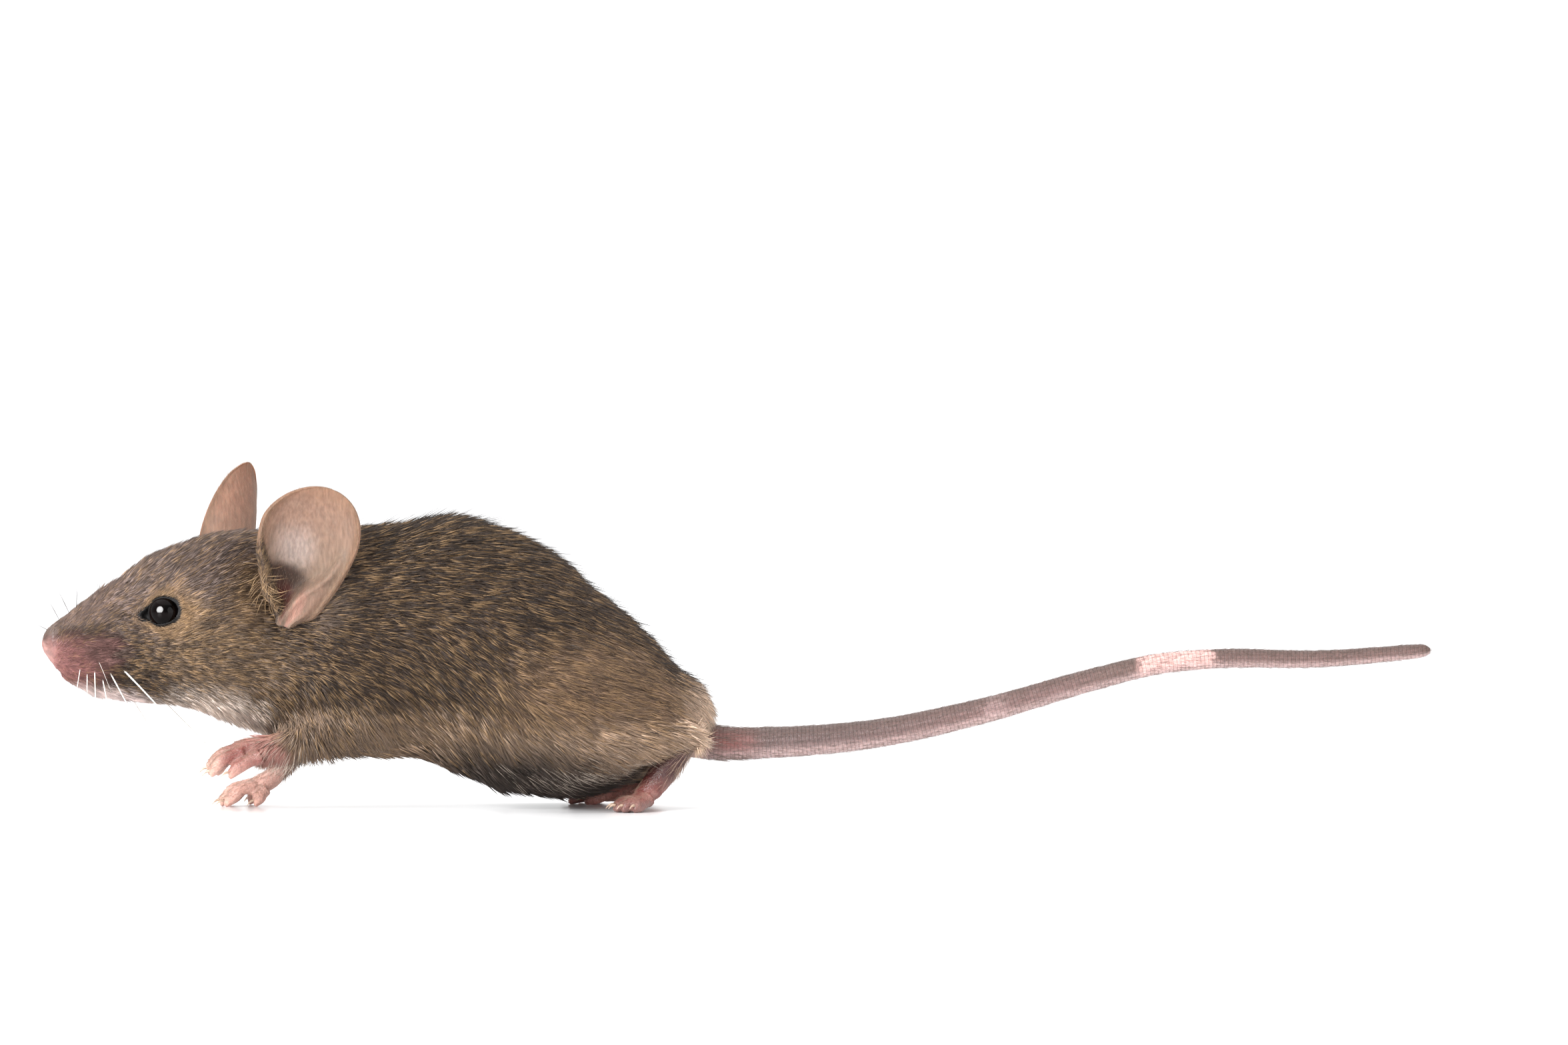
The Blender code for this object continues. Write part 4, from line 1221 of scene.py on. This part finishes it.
# then soft egg-shaped zones, each with its centre and its reach
markingsAndPaintedLight = {
    "back": ((-36, 0, 33), (27, 10.5, 9), (66, 53, 44), 0.40, 0.80),
    "loins": ((-15, 0, 23), (13, 10, 8.5), (82, 67, 57), 0.38, 0.70),
    "haunch": ((-15, 12, 14), (13, 8, 7.5), (146, 119, 97), 0.50, 0.62),
    "flankEdge": ((-37, 7, 6.6), (34, 12, 6.4), (160, 135, 114), 0.32, 0.30),
    "thighEdge": ((-17, 11, 6.0), (15, 5, 5.0), (188, 160, 136), 0.30, 0.35),
    # painted shade beneath the body: the belly far darker than its own fur
    "bellyShade": ((-25.5, 0, 1.0), (15.5, 30, 9.8), (60, 50, 44), 0.0, 0.25),
    "rumpEnd": ((-1.6, 3, 10.8), (7.8, 12, 7.4), (226, 197, 173), 0.15, 0.15),
    "head": ((-65, 0, 27), (13, 8, 9.5), (136, 118, 110), 0.34, 0.55),
    "cheek": ((-61, 7, 17), (9.5, 4.5, 5.4), (117, 98, 82), 0.48, 0.50),
    # the throat's own pale fur, made paler still as painted light for the light thrown up from the floor
    "throat": ((-61.0, 0, 9.6), (9, 10, 5.6), (238, 220, 206), 0.05, 0.0),
    "chest": ((-48.5, 6, 8.5), (7, 9, 5.4), (122, 102, 86), 0.30, 0.30),
    "earFront": ((-57, 7.5, 25.5), (3.2, 4, 5), (142, 117, 94), 0.50, 0.30),
    "earBehind": ((-48.6, 8.5, 24.0), (2.8, 4, 4.2), (106, 90, 79), 0.2, 0.3),
    "muzzle": ((-76.4, 0, 16.6), (5.2, 5.0, 3.9), (148, 101, 97), 0.10, 0.35),
    "whiskerBed": ((-73.4, 4, 18.2), (2.8, 3, 2.0), (126, 92, 87), 0.0, 0.4),
    "whiskerSpotLow": ((-71.2, 4.5, 18.0), (1.2, 3, 0.6), (92, 74, 66), 0.0, 0.4),
    "whiskerSpotHigh": ((-71.9, 4.5, 19.9), (1.0, 3, 0.5), (96, 78, 72), 0.0, 0.4),
    "muzzleTop": ((-75.0, 0, 23.6), (7.0, 3.8, 3.7), (140, 120, 112), 0.20, 0.30),
    "chin": ((-73.5, 0, 12.2), (5.8, 4, 3.0), (240, 220, 214), 0.0, 0.0),
    "noseTip": ((-80.0, 0, 18.0), (1.6, 2, 1.5), (160, 120, 113), 0.0, 0.0),
    "eyeRing": ((-65.4, 5, 22.4), (3.8, 3, 3.0), (150, 124, 98), 0.5, 0.0),
    "forearm": ((-54, 6, 6.5), (3.6, 5, 3.0), (170, 122, 112), 0.0, 0.0),
    # darker red over heel and shank: partly their own redder skin, partly painted shade under the haunch
    "heel": ((-7.5, 6.5, 4.2), (4.4, 4, 3.4), (96, 48, 42), 0.0, 0.0),
}
furTones = {
    "tick": (158, 127, 90),
    "tip": (42, 33, 28),
    "root": (70, 60, 54),
    "zoneEdge": (1.25, 0.60),  # where a zone begins and where it is full, for its own reach
    "zoneDrift": 0.55,
    "patches": 700.0,
    "locks": 2300.0,
    "lockWays": [(0.34, 0.0, -0.13), (0.0, 0.8, 0.0), (0.36, 0.0, 0.93)],
    # along a hair from 0 at its root to 1
    "slateEnds": (0.0, 0.35),
    "bandStarts": (0.35, 0.55),
    "bandEnds": (0.98, 0.80),
    "tipStarts": (0.68, 0.95),
    # how strongly each is mixed in
    "slateShare": 0.65,
    "bandShare": 0.62,
    "tipShare": 0.75,
    "sootyShare": 0.6,
    "sootyHairs": 0.30,
}


def farFrom(tree, where, centre, reach):
    # 1 on the skin of an egg shape, 0 at its centre
    away = vectorMaths(tree, "SUBTRACT", where, centre)
    return vectorMaths(tree, "LENGTH", vectorMaths(tree, "DIVIDE", away, reach))


def tinted(tree, colour, share, overTone, *shares):
    # some of another tone over a colour, where every share allows it; real stains and painted light and shade
    # alike
    for other in shares:
        share = times(tree, share, other)
    return mixed(tree, share, colour, tone(*overTone))


def objectPlace(tree):
    return place(tree, "ShaderNodeTexCoord").outputs["Object"]


def markingsAndLightGroup():
    tree = bpy.data.node_groups.new("mouseMarkingsAndPaintedLight", "ShaderNodeTree")
    given, result = openGroup(tree, {"Place": "Vector", "Ragged": "Float"},
                              {"Ground": "Color", "Ticked": "Float", "Dark Tips": "Float"})
    where = scaled(tree, given["Place"], 1 / mm)
    where = vectorMaths(tree, "ABSOLUTE", vectorMaths(tree, "MULTIPLY", where, (-1, 1, 1)))
    drift = noise(tree, where, furTones["zoneDrift"], 2.0, "Color")
    stray = vectorMaths(tree, "SUBTRACT", drift, (0.5, 0.5, 0.5))
    where = vectorMaths(tree, "ADD", where, scaled(tree, stray, given["Ragged"]))
    ground, kinds = tone(*groundCoat[0]), (*groundCoat[1:], 0.0, 1.0)
    for (x, y, z), reach, colour, ticked, dark in markingsAndPaintedLight.values():
        share = ramp(tree, farFrom(tree, where, (-x, y, z), reach), *furTones["zoneEdge"])
        ground = mixed(tree, share, ground, tone(*colour))
        kinds = mixed(tree, share, kinds, (ticked, dark, 0.0, 1.0))
    parts = place(tree, "ShaderNodeSeparateColor", {0: kinds}).outputs
    for name, value in (("Ground", ground), ("Ticked", parts[0]), ("Dark Tips", parts[1])):
        tree.links.new(value, result[name])
    return tree


def bandsGroup():
    # the bands along one hair: slaty root, the zone's colour, an ochre band on some, a dark tip
    tree = bpy.data.node_groups.new("hairBands", "ShaderNodeTree")
    numbers = dict.fromkeys(("Ticked", "Dark Tips", "Along"), "Float")
    given, result = openGroup(tree, {"Ground": "Color", **numbers, "Chance": "Vector", "Place": "Vector"},
                              {"Colour": "Color"})
    dice, along, dark = partsOf(tree, given["Chance"]), given["Along"], given["Dark Tips"]
    patches = noise(tree, given["Place"], furTones["patches"])
    # locks drawn out along the way that most of the coat lies
    drawn = place(tree, "ShaderNodeCombineXYZ", {
        k: vectorMaths(tree, "DOT_PRODUCT", given["Place"], way)
        for k, way in enumerate(furTones["lockWays"])}).outputs[0]
    locks = noise(tree, drawn, furTones["locks"])
    likely = times(tree, ramp(tree, patches, 0.3, 0.7, 0.7, 1.3), ramp(tree, locks, 0.36, 0.64, 0.25, 1.75))
    ochre = maths(tree, "LESS_THAN", dice[0], times(tree, given["Ticked"], likely))
    rare = maths(tree, "SUBTRACT", 1.0, times(tree, dark, furTones["sootyHairs"]))
    sooty = maths(tree, "GREATER_THAN", dice[0], rare)
    slate = mixed(tree, furTones["slateShare"], tone(*furTones["root"]), given["Ground"])
    colour = mixed(tree, ramp(tree, along, *furTones["slateEnds"]), slate, given["Ground"])
    band = times(tree, ramp(tree, along, *furTones["bandStarts"]), ramp(tree, along, *furTones["bandEnds"]))
    tip = ramp(tree, along, *furTones["tipStarts"])
    colour = tinted(tree, colour, band, furTones["tick"], ochre, furTones["bandShare"])
    colour = tinted(tree, colour, tip, furTones["tip"], dark, furTones["tipShare"])
    colour = tinted(tree, colour, sooty, furTones["tip"], furTones["sootyShare"])
    value = times(tree, ramp(tree, dice[2], 0.0, 1.0, 0.84, 1.16), ramp(tree, locks, 0.3, 0.7, 0.74, 1.28))
    tree.links.new(scaled(tree, colour, value), result["Colour"])
    return tree


def attribute(tree, name, what="Vector"):
    return place(tree, "ShaderNodeAttribute", attribute_name=name).outputs[what]


def bump(tree, height, distance):
    return place(tree, "ShaderNodeBump", {"Height": height, "Distance": distance, "Strength": 1.0}).outputs[0]


def grouped(tree, group, inputs):
    return place(tree, "ShaderNodeGroup", inputs, node_tree=group).outputs


def furMaterial(markingsAndLightTree, bandsTree):
    made, tree, shader = newMaterial("agoutiFur", 0.58, 0.35)
    root = attribute(tree, "rootPlace")
    marksAndLight = grouped(tree, markingsAndLightTree, {"Place": root, "Ragged": 1.6})
    bands = grouped(tree, bandsTree, {
        "Ground": marksAndLight["Ground"], "Ticked": marksAndLight["Ticked"], "Dark Tips": marksAndLight["Dark Tips"],
        "Along": attribute(tree, "along", "Fac"), "Chance": attribute(tree, "chance"), "Place": root})
    tree.links.new(bands["Colour"], shader["Base Color"])
    return made


hideLook = {
    "lids": (8, 6, 6),
    "mottle": 1400.0,
    "pores": 3600.0,
    "grain": 2600.0,
    "relief": 0.00006,
    "shades": (0.62, 0.98),
    "roughness": (0.42, 0.62),
}


def hideMaterial(markingsAndLightTree):
    # the skin under the coat: close to the coat's own colour, and pored where it is bare
    made, tree, shader = newMaterial("hide", 0.5, 0.4, Subsurface_Weight=0.12, Subsurface_Scale=0.0008,
                                     Subsurface_Radius=(1.0, 0.45, 0.3))
    where = objectPlace(tree)
    marksAndLight = grouped(tree, markingsAndLightTree, {"Place": where, "Ragged": 0.8})
    mottle = noise(tree, where, hideLook["mottle"], 3.0)
    colour = scaled(tree, marksAndLight["Ground"], ramp(tree, mottle, 0.25, 0.75, *hideLook["shades"]))
    lids = attribute(tree, "lidEdge", "Fac")
    tree.links.new(tinted(tree, colour, lids, hideLook["lids"]), shader["Base Color"])
    pores = times(tree, cells(tree, where, hideLook["pores"]), 0.6)
    height = maths(tree, "ADD", pores, noise(tree, where, hideLook["grain"], 3.0))
    tree.links.new(bump(tree, height, hideLook["relief"]), shader["Normal"])
    rough = ramp(tree, mottle, 0.3, 0.7, *hideLook["roughness"])
    tree.links.new(maths(tree, "ADD", rough, times(tree, lids, 0.2)), shader["Roughness"])
    return made


earLook = {
    "inner": (121, 101, 87),
    "outer": (126, 101, 86),
    # painted highlight: the paler middle of the cup, where light falls into its hollow, and where it lies
    "hollow": (142, 128, 120),
    "cupLightPlace": ((0.50, -0.30, 0), (0.24, 0.50, 9)),
    "rim": (116, 89, 68),
    "back": (114, 90, 74),
    "streaks": 3400.0,
    "veins": 900.0,
    "relief": 0.00005,
    "stainsAndShade": [  # centre, reach, share, colour: painted shade in the ear's hollows, and the pink column's own colour
        ((0.29, -0.46, 0), (0.105, 0.62, 9), 0.95, (52, 37, 30)),  # painted shade in the bowl
        ((0.14, -0.40, 0), (0.12, 0.36, 9), 0.95, (66, 27, 23)),  # painted shade in the canal below it
        ((0.10, 0.24, 0), (0.18, 0.22, 9), 0.6, (160, 114, 101)),  # the pink column
        ((0.22, 0.62, 0), (0.20, 0.30, 9), 0.45, (108, 78, 64)),  # painted shade along the fold behind
    ],
}


def earMaterial():
    made, tree, shader = newMaterial("earSkin", 0.6, 0.22, Subsurface_Weight=0.3, Subsurface_Scale=0.0012,
                                     Subsurface_Radius=(1.0, 0.4, 0.25))
    where, spot = objectPlace(tree), attribute(tree, "earPlace")
    high, across, outer = partsOf(tree, spot)
    inner = maths(tree, "SUBTRACT", 1.0, outer)
    colour = mixed(tree, outer, tone(*earLook["inner"]), tone(*earLook["outer"]))
    # painted highlight on the middle of the cup
    pale = ramp(tree, farFrom(tree, spot, *earLook["cupLightPlace"]), 1.1, 0.1)
    colour = tinted(tree, colour, pale, earLook["hollow"], inner)
    edge = ramp(tree, maths(tree, "ABSOLUTE", across), 0.70, 0.98)
    rim = maths(tree, "MAXIMUM", edge, ramp(tree, high, 0.80, 1.0))
    colour = tinted(tree, colour, rim, earLook["rim"], 0.6)
    colour = tinted(tree, colour, ramp(tree, high, 0.45, 0.85), earLook["back"], outer, 0.7)
    # painted shade in the bowl, the canal and along the fold, and the pink column's own colour
    for centre, reach, strength, overTone in earLook["stainsAndShade"]:
        share = ramp(tree, farFrom(tree, spot, centre, reach), 1.35, 0.45, 0.0, strength)
        colour = tinted(tree, colour, share, overTone, inner)
    streak = noise(tree, vectorMaths(tree, "MULTIPLY", where, (1.0, 1.0, 0.16)), earLook["streaks"], 4.0)
    veins = noise(tree, where, earLook["veins"], 3.0)
    value = times(tree, ramp(tree, streak, 0.25, 0.75, 0.78, 1.20), ramp(tree, veins, 0.25, 0.75, 0.92, 1.07))
    tree.links.new(scaled(tree, colour, value), shader["Base Color"])
    tree.links.new(bump(tree, maths(tree, "ADD", streak, veins), earLook["relief"]), shader["Normal"])
    tree.links.new(ramp(tree, streak, 0.3, 0.7, 0.55, 0.70), shader["Roughness"])
    return made


tailLook = {
    "root": (120, 72, 68),
    # x where each stretch begins and is full, where it ends again, share, colour
    "stretches": [
        ((-1.0, 4.0), None, 1.0, (88, 70, 68)), ((8.0, 30.0), None, 1.0, (104, 80, 77)),
        ((28.2, 29.4), (31.6, 30.4), 0.55, (150, 124, 122)), ((36.0, 45.0), None, 1.0, (98, 77, 72)),
    ],
    "band": ((45.6, 47.2), (56.0, 54.4), (196, 156, 150)),  # the pale one
    "beyond": ((54.6, 56.0), (96, 74, 70)),
    "tip": ((79.0, 80.0), (84, 60, 52)),
    "above": (68, 53, 47),
    "below": (178, 152, 149),
    "edgeNoise": 1500.0,
    "edgeStray": 2.5,
    # painted shade in the grooves between rings of scales, and in the notches of their edges
    "grooveShade": 0.24,
    "notchShade": 0.12,
    "grain": 2600.0,
    "fine": 4200.0,
    "relief": 0.00008,
}


def tailMaterial():
    made, tree, shader = newMaterial("tailSkin", 0.5, 0.4, Subsurface_Weight=0.1, Subsurface_Scale=0.0008)
    where = objectPlace(tree)
    x = times(tree, partsOf(tree, where)[0], 1 / mm)
    along, beside, over = partsOf(tree, attribute(tree, "ringPlace"))
    drift = maths(tree, "SUBTRACT", noise(tree, where, tailLook["edgeNoise"]), 0.5)
    ragged = maths(tree, "ADD", x, times(tree, drift, tailLook["edgeStray"]))
    colour = tone(*tailLook["root"])
    for start, end, share, overTone in tailLook["stretches"]:
        ends = [ramp(tree, ragged, *end)] if end else []
        colour = tinted(tree, colour, ramp(tree, ragged, *start), overTone, *ends, share)
    start, end, overTone = tailLook["band"]
    band = times(tree, ramp(tree, ragged, *start), ramp(tree, ragged, *end))
    colour = tinted(tree, colour, band, overTone)
    for distance, key in ((ragged, "beyond"), (x, "tip")):
        (first, full), overTone = tailLook[key]
        colour = tinted(tree, colour, ramp(tree, distance, first, full), overTone)
    unbanded = maths(tree, "SUBTRACT", 0.55, times(tree, band, 0.55))
    colour = tinted(tree, colour, ramp(tree, over, 0.0, 0.9), tailLook["above"], unbanded)
    colour = tinted(tree, colour, ramp(tree, over, 0.0, -0.8, 0.0, 0.75), tailLook["below"])
    # each ring of scales is paler on its face, with painted shade in the groove where the next begins and in
    # the notches of its rear edge
    share = maths(tree, "FRACT", along)
    groove = maths(tree, "MAXIMUM", ramp(tree, share, 0.22, 0.0), ramp(tree, share, 0.86, 1.0))
    turn = times(tree, maths(tree, "ARCTAN2", over, beside), tailShape["scalesRound"] / 2)
    notch = maths(tree, "POWER", maths(tree, "ABSOLUTE", maths(tree, "COSINE", turn)), 6.0)
    inGrooves = times(tree, groove, tailLook["grooveShade"])
    inNotches = times(tree, notch, tailLook["notchShade"])
    dark = maths(tree, "ADD", inGrooves, inNotches)
    grain = ramp(tree, noise(tree, where, tailLook["grain"]), 0.3, 0.7, 0.85, 1.15)
    value = times(tree, maths(tree, "SUBTRACT", 1.08, dark), grain)
    tree.links.new(scaled(tree, colour, value), shader["Base Color"])
    height = maths(tree, "SUBTRACT", noise(tree, where, tailLook["fine"]), times(tree, dark, 1.6))
    tree.links.new(bump(tree, height, tailLook["relief"]), shader["Normal"])
    tree.links.new(ramp(tree, groove, 0.0, 1.0, 0.42, 0.65), shader["Roughness"])
    return made


pawTones = {
    "skin": ((142, 100, 92), (116, 64, 58)),
    # paler low on the forepaws: partly the pads' own paler skin, partly painted light for light shining
    # through the far forepaw
    "fore": (212, 168, 154),
    "tips": (200, 166, 150),
    # darker red over heel and shank: partly their own redder skin, partly painted shade under the haunch
    "heel": (50, 16, 15),
    "toes": (108, 84, 79),
    # painted light: the far hind foot lighter, for the little light that reaches it
    "far": (186, 128, 116),
    "mottle": 650.0,
    "creases": 3800.0,
    "cells": 4200.0,
    "relief": 0.00006,
}


def pawMaterial():
    made, tree, shader = newMaterial("pawSkin", 0.45, 0.45, Subsurface_Weight=0.25, Subsurface_Scale=0.0010,
                                     Subsurface_Radius=(1.0, 0.4, 0.25))
    where = objectPlace(tree)
    x, y, z = partsOf(tree, scaled(tree, where, 1 / mm))
    pink, red = pawTones["skin"]
    mottle = ramp(tree, noise(tree, where, pawTones["mottle"], 3.0), 0.40, 0.62)
    colour = mixed(tree, mottle, tone(*pink), tone(*red))
    hind, fore = ramp(tree, x, *hindX), ramp(tree, x, *reversed(hindX))
    # paler low on the forepaws: the pads' own skin and painted light through the far forepaw
    colour = tinted(tree, colour, fore, pawTones["fore"], ramp(tree, z, 6.5, 3.0), 0.8)
    colour = tinted(tree, colour, ramp(tree, x, -58.0, -60.5), pawTones["tips"], 0.6)
    # painted shade under the haunch over the heel and shank's own darker red
    colour = tinted(tree, colour, hind, pawTones["heel"], ramp(tree, z, 1.5, 4.5), 0.95)
    colour = tinted(tree, colour, hind, pawTones["toes"], ramp(tree, z, 2.0, 0.8), 0.6)
    # painted light on the far hind foot
    colour = tinted(tree, colour, hind, pawTones["far"], ramp(tree, y, 0.0, 2.0), 0.7)
    fine = noise(tree, vectorMaths(tree, "MULTIPLY", where, (1.0, 0.35, 1.0)), pawTones["creases"], 3.0)
    tree.links.new(scaled(tree, colour, ramp(tree, fine, 0.25, 0.75, 0.82, 1.12)), shader["Base Color"])
    height = maths(tree, "ADD", fine, cells(tree, where, pawTones["cells"]))
    tree.links.new(bump(tree, height, pawTones["relief"]), shader["Normal"])
    tree.links.new(ramp(tree, fine, 0.3, 0.7, 0.36, 0.55), shader["Roughness"])
    return made


def hairMaterial(name, root, tip):
    made, tree, shader = newMaterial(name, 0.45, 0.45)
    along = ramp(tree, attribute(tree, "along", "Fac"), 0.0, 0.7)
    dice = partsOf(tree, attribute(tree, "chance"))
    value = ramp(tree, dice[0], 0.0, 1.0, 0.8, 1.1)
    tree.links.new(scaled(tree, mixed(tree, along, tone(*root), tone(*tip)), value), shader["Base Color"])
    return made


def grainedMaterial(name, roughness, specular, first, second, scale, stretch=(1, 1, 1), **others):
    # one tone streaked with another
    made, tree, shader = newMaterial(name, roughness, specular, **others)
    where = vectorMaths(tree, "MULTIPLY", objectPlace(tree), stretch)
    grain = noise(tree, where, scale)
    colour = mixed(tree, ramp(tree, grain, 0.3, 0.7), tone(*first), tone(*second))
    tree.links.new(colour, shader["Base Color"])
    return made, tree, shader, grain


def whiskerMaterial(name, pale, deep):
    return grainedMaterial(name, 0.32, 0.5, deep, pale, 1800.0)[0]


hornTones = ((196, 172, 150), (150, 122, 104))
eyeTones = ((0, 0, 0), (2, 1, 1))


def clawMaterial():
    made, tree, shader, grain = grainedMaterial(
        "clawHorn", 0.28, 0.5, *hornTones, 5000.0, (0.3, 1.0, 1.0), Coat_Weight=0.3)
    tree.links.new(bump(tree, grain, 0.00002), shader["Normal"])
    return made


def eyeMaterial():
    made, tree, shader, _ = grainedMaterial("eyeGlass", 0.06, 0.08, *eyeTones, 500.0)
    # duller towards the rim, where the lids' hairs stand in front of whatever it mirrors
    facing = place(tree, "ShaderNodeLayerWeight", {"Blend": 0.5}).outputs["Facing"]
    tree.links.new(ramp(tree, facing, 0.45, 0.85, 0.06, 0.75), shader["Roughness"])
    return made


def declare(piece, slot, *nodes):
    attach(piece, "root")
    if nodes:
        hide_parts(*nodes)


markingsAndLightTree, bandsTree = markingsAndLightGroup(), bandsGroup()
fur = furMaterial(markingsAndLightTree, bandsTree)
body = makeBody()
combBody(body)
print("body skin", len(body.data.polygons), "faces")

tuftKinds = {
    "bristle": tuftShape("bristle", [(-0.04, 0.5)], False, 0.3),
    "lock": tuftShape("lock", [(0.36, 0.5)], True),
    "strand": tuftShape("strand", [(0.0, 0.5), (0.45, 0.36)], False),
}
tufts = tuftTree()
tuftLook = {"Clump": 0.26, "Clump Size": 0.0011, "Arch": 0.34, "Patch": 0.003}
tuftNeeds = ("lie", "out", "hairLength", "hairLift", "hairDensity")


def triangles(obj):
    return sum(len(p.vertices) - 2 for p in obj.data.polygons)


def grow(base, name, look, material, slot):
    count, width, scatter, seed, kind, *arch = look
    values = {**tuftLook, "Tuft": tuftKinds[kind], "Density": count / weightedArea(base.data), "Width": width,
              "Scatter": scatter, "Seed": seed, "Material": material}
    if arch:
        values["Arch"] = arch[0]
    modifier = base.modifiers.new("tufts", "NODES")
    modifier.node_group = tufts
    for item in tufts.interface.items_tree:
        if item.name in values:
            modifier[item.identifier] = values[item.name]
    bpy.context.view_layer.update()
    plainMesh(base)
    mesh = base.data
    mesh.materials.clear()
    mesh.materials.append(material)
    mesh.polygons.foreach_set("material_index", np.zeros(len(mesh.polygons), np.int32))
    dropAttributes(mesh, *tuftNeeds, "rootMap", "spikeMap", "earPlace", "ringPlace")
    keepAbove(base, floorGap["hair"])
    base.name = mesh.name = name
    declare(base, slot)
    print(name, triangles(base), "triangles")


def growSparse(source, name, combing, material, slot="fur"):
    base = addToScene(name, source.data.copy())
    comb(base, *combing(base))
    layOut(base)
    grow(base, name, sparsePieces[name.split("_")[0]], material, slot)


for name, look in coatPieces.items():
    grow(patchOf(body, name), "coat_" + name, look, fur, "fur")

# root and tip of each kind of hair that isn't banded
hairTones = {
    "paleHair": ((120, 102, 86), (212, 196, 180)),
    "guardHair": ((66, 53, 44), (40, 31, 27)),
    "buffHair": ((104, 80, 60), (182, 150, 112)),
    "downHair": ((128, 102, 88), (156, 130, 112)),
    "tailHair": ((74, 58, 52), (132, 114, 106)),
    "pawHair": ((104, 76, 66), (160, 134, 116)),
}
hair = {name: hairMaterial(name, *tones) for name, tones in hairTones.items()}
growSparse(body, "fringe", combFringe, hair["paleHair"])
growSparse(body, "guardHairs", combGuardHairs, hair["guardHair"])
# each set's sag, then its material's name, pale tone and deep tone
whiskerLooks = {
    "whiskersPale": (paleWhiskers, 0.10, "paleWhisker", (236, 232, 226), (214, 206, 198)),
    "whiskersDark": (darkWhiskers, 0.04, "darkWhisker", (64, 52, 46), (36, 30, 28)),
}
for name, look in whiskerLooks.items():
    makeWhiskers(name, body, *look)
print("whiskers")

body.data.materials.append(hideMaterial(markingsAndLightTree))
earSkin, tailSkin, pawSkin = earMaterial(), tailMaterial(), pawMaterial()
shells = []
for name, ear in ears.items():
    shell = makeEar(name)
    shell.data.materials.append(earSkin)
    for piece, combing, material, slot in (
        ("earHairs_", combEar, hair["downHair"], "ear_skin"), ("earFur_", combEarFur, fur, "fur"),
        ("earTufts_", combEarTufts, hair["buffHair"], "fur"),
    ):
        growSparse(shell, piece + name, lambda obj, way=combing, ear=ear: way(obj, ear), material, slot)
    shells.append(shell)
tail = makeTail()
tail.data.materials.append(tailSkin)
growSparse(tail, "tailHairs", combTail, hair["tailHair"], "tail_skin")
shells.append(tail)
for name in paws:
    foot = makePaw(name)
    foot.data.materials.append(pawSkin)
    growSparse(foot, "pawHairs_" + name, combPaw, hair["pawHair"])
    shells.append(foot)
for kind in tuftKinds.values():
    bpy.data.objects.remove(kind)
skin = joined("skin", [body, *shells])
dropAttributes(skin.data, *tuftNeeds)
declare(skin, "bare_skin", *furNodes, *bareNodes)
print("skin", triangles(skin), "triangles")

eyeGlass = eyeMaterial()
for side, node in zip((left, right), eyeNodes):
    eye = makeEye(side)
    eye.data.materials.append(eyeGlass)
    declare(eye, "eye", node)
    bpy.data.collections["litByEyeLight"].objects.link(eye)
claws = makeClaws()
claws.data.materials.append(clawMaterial())
declare(claws, "bare_skin")
print("eyes and claws")
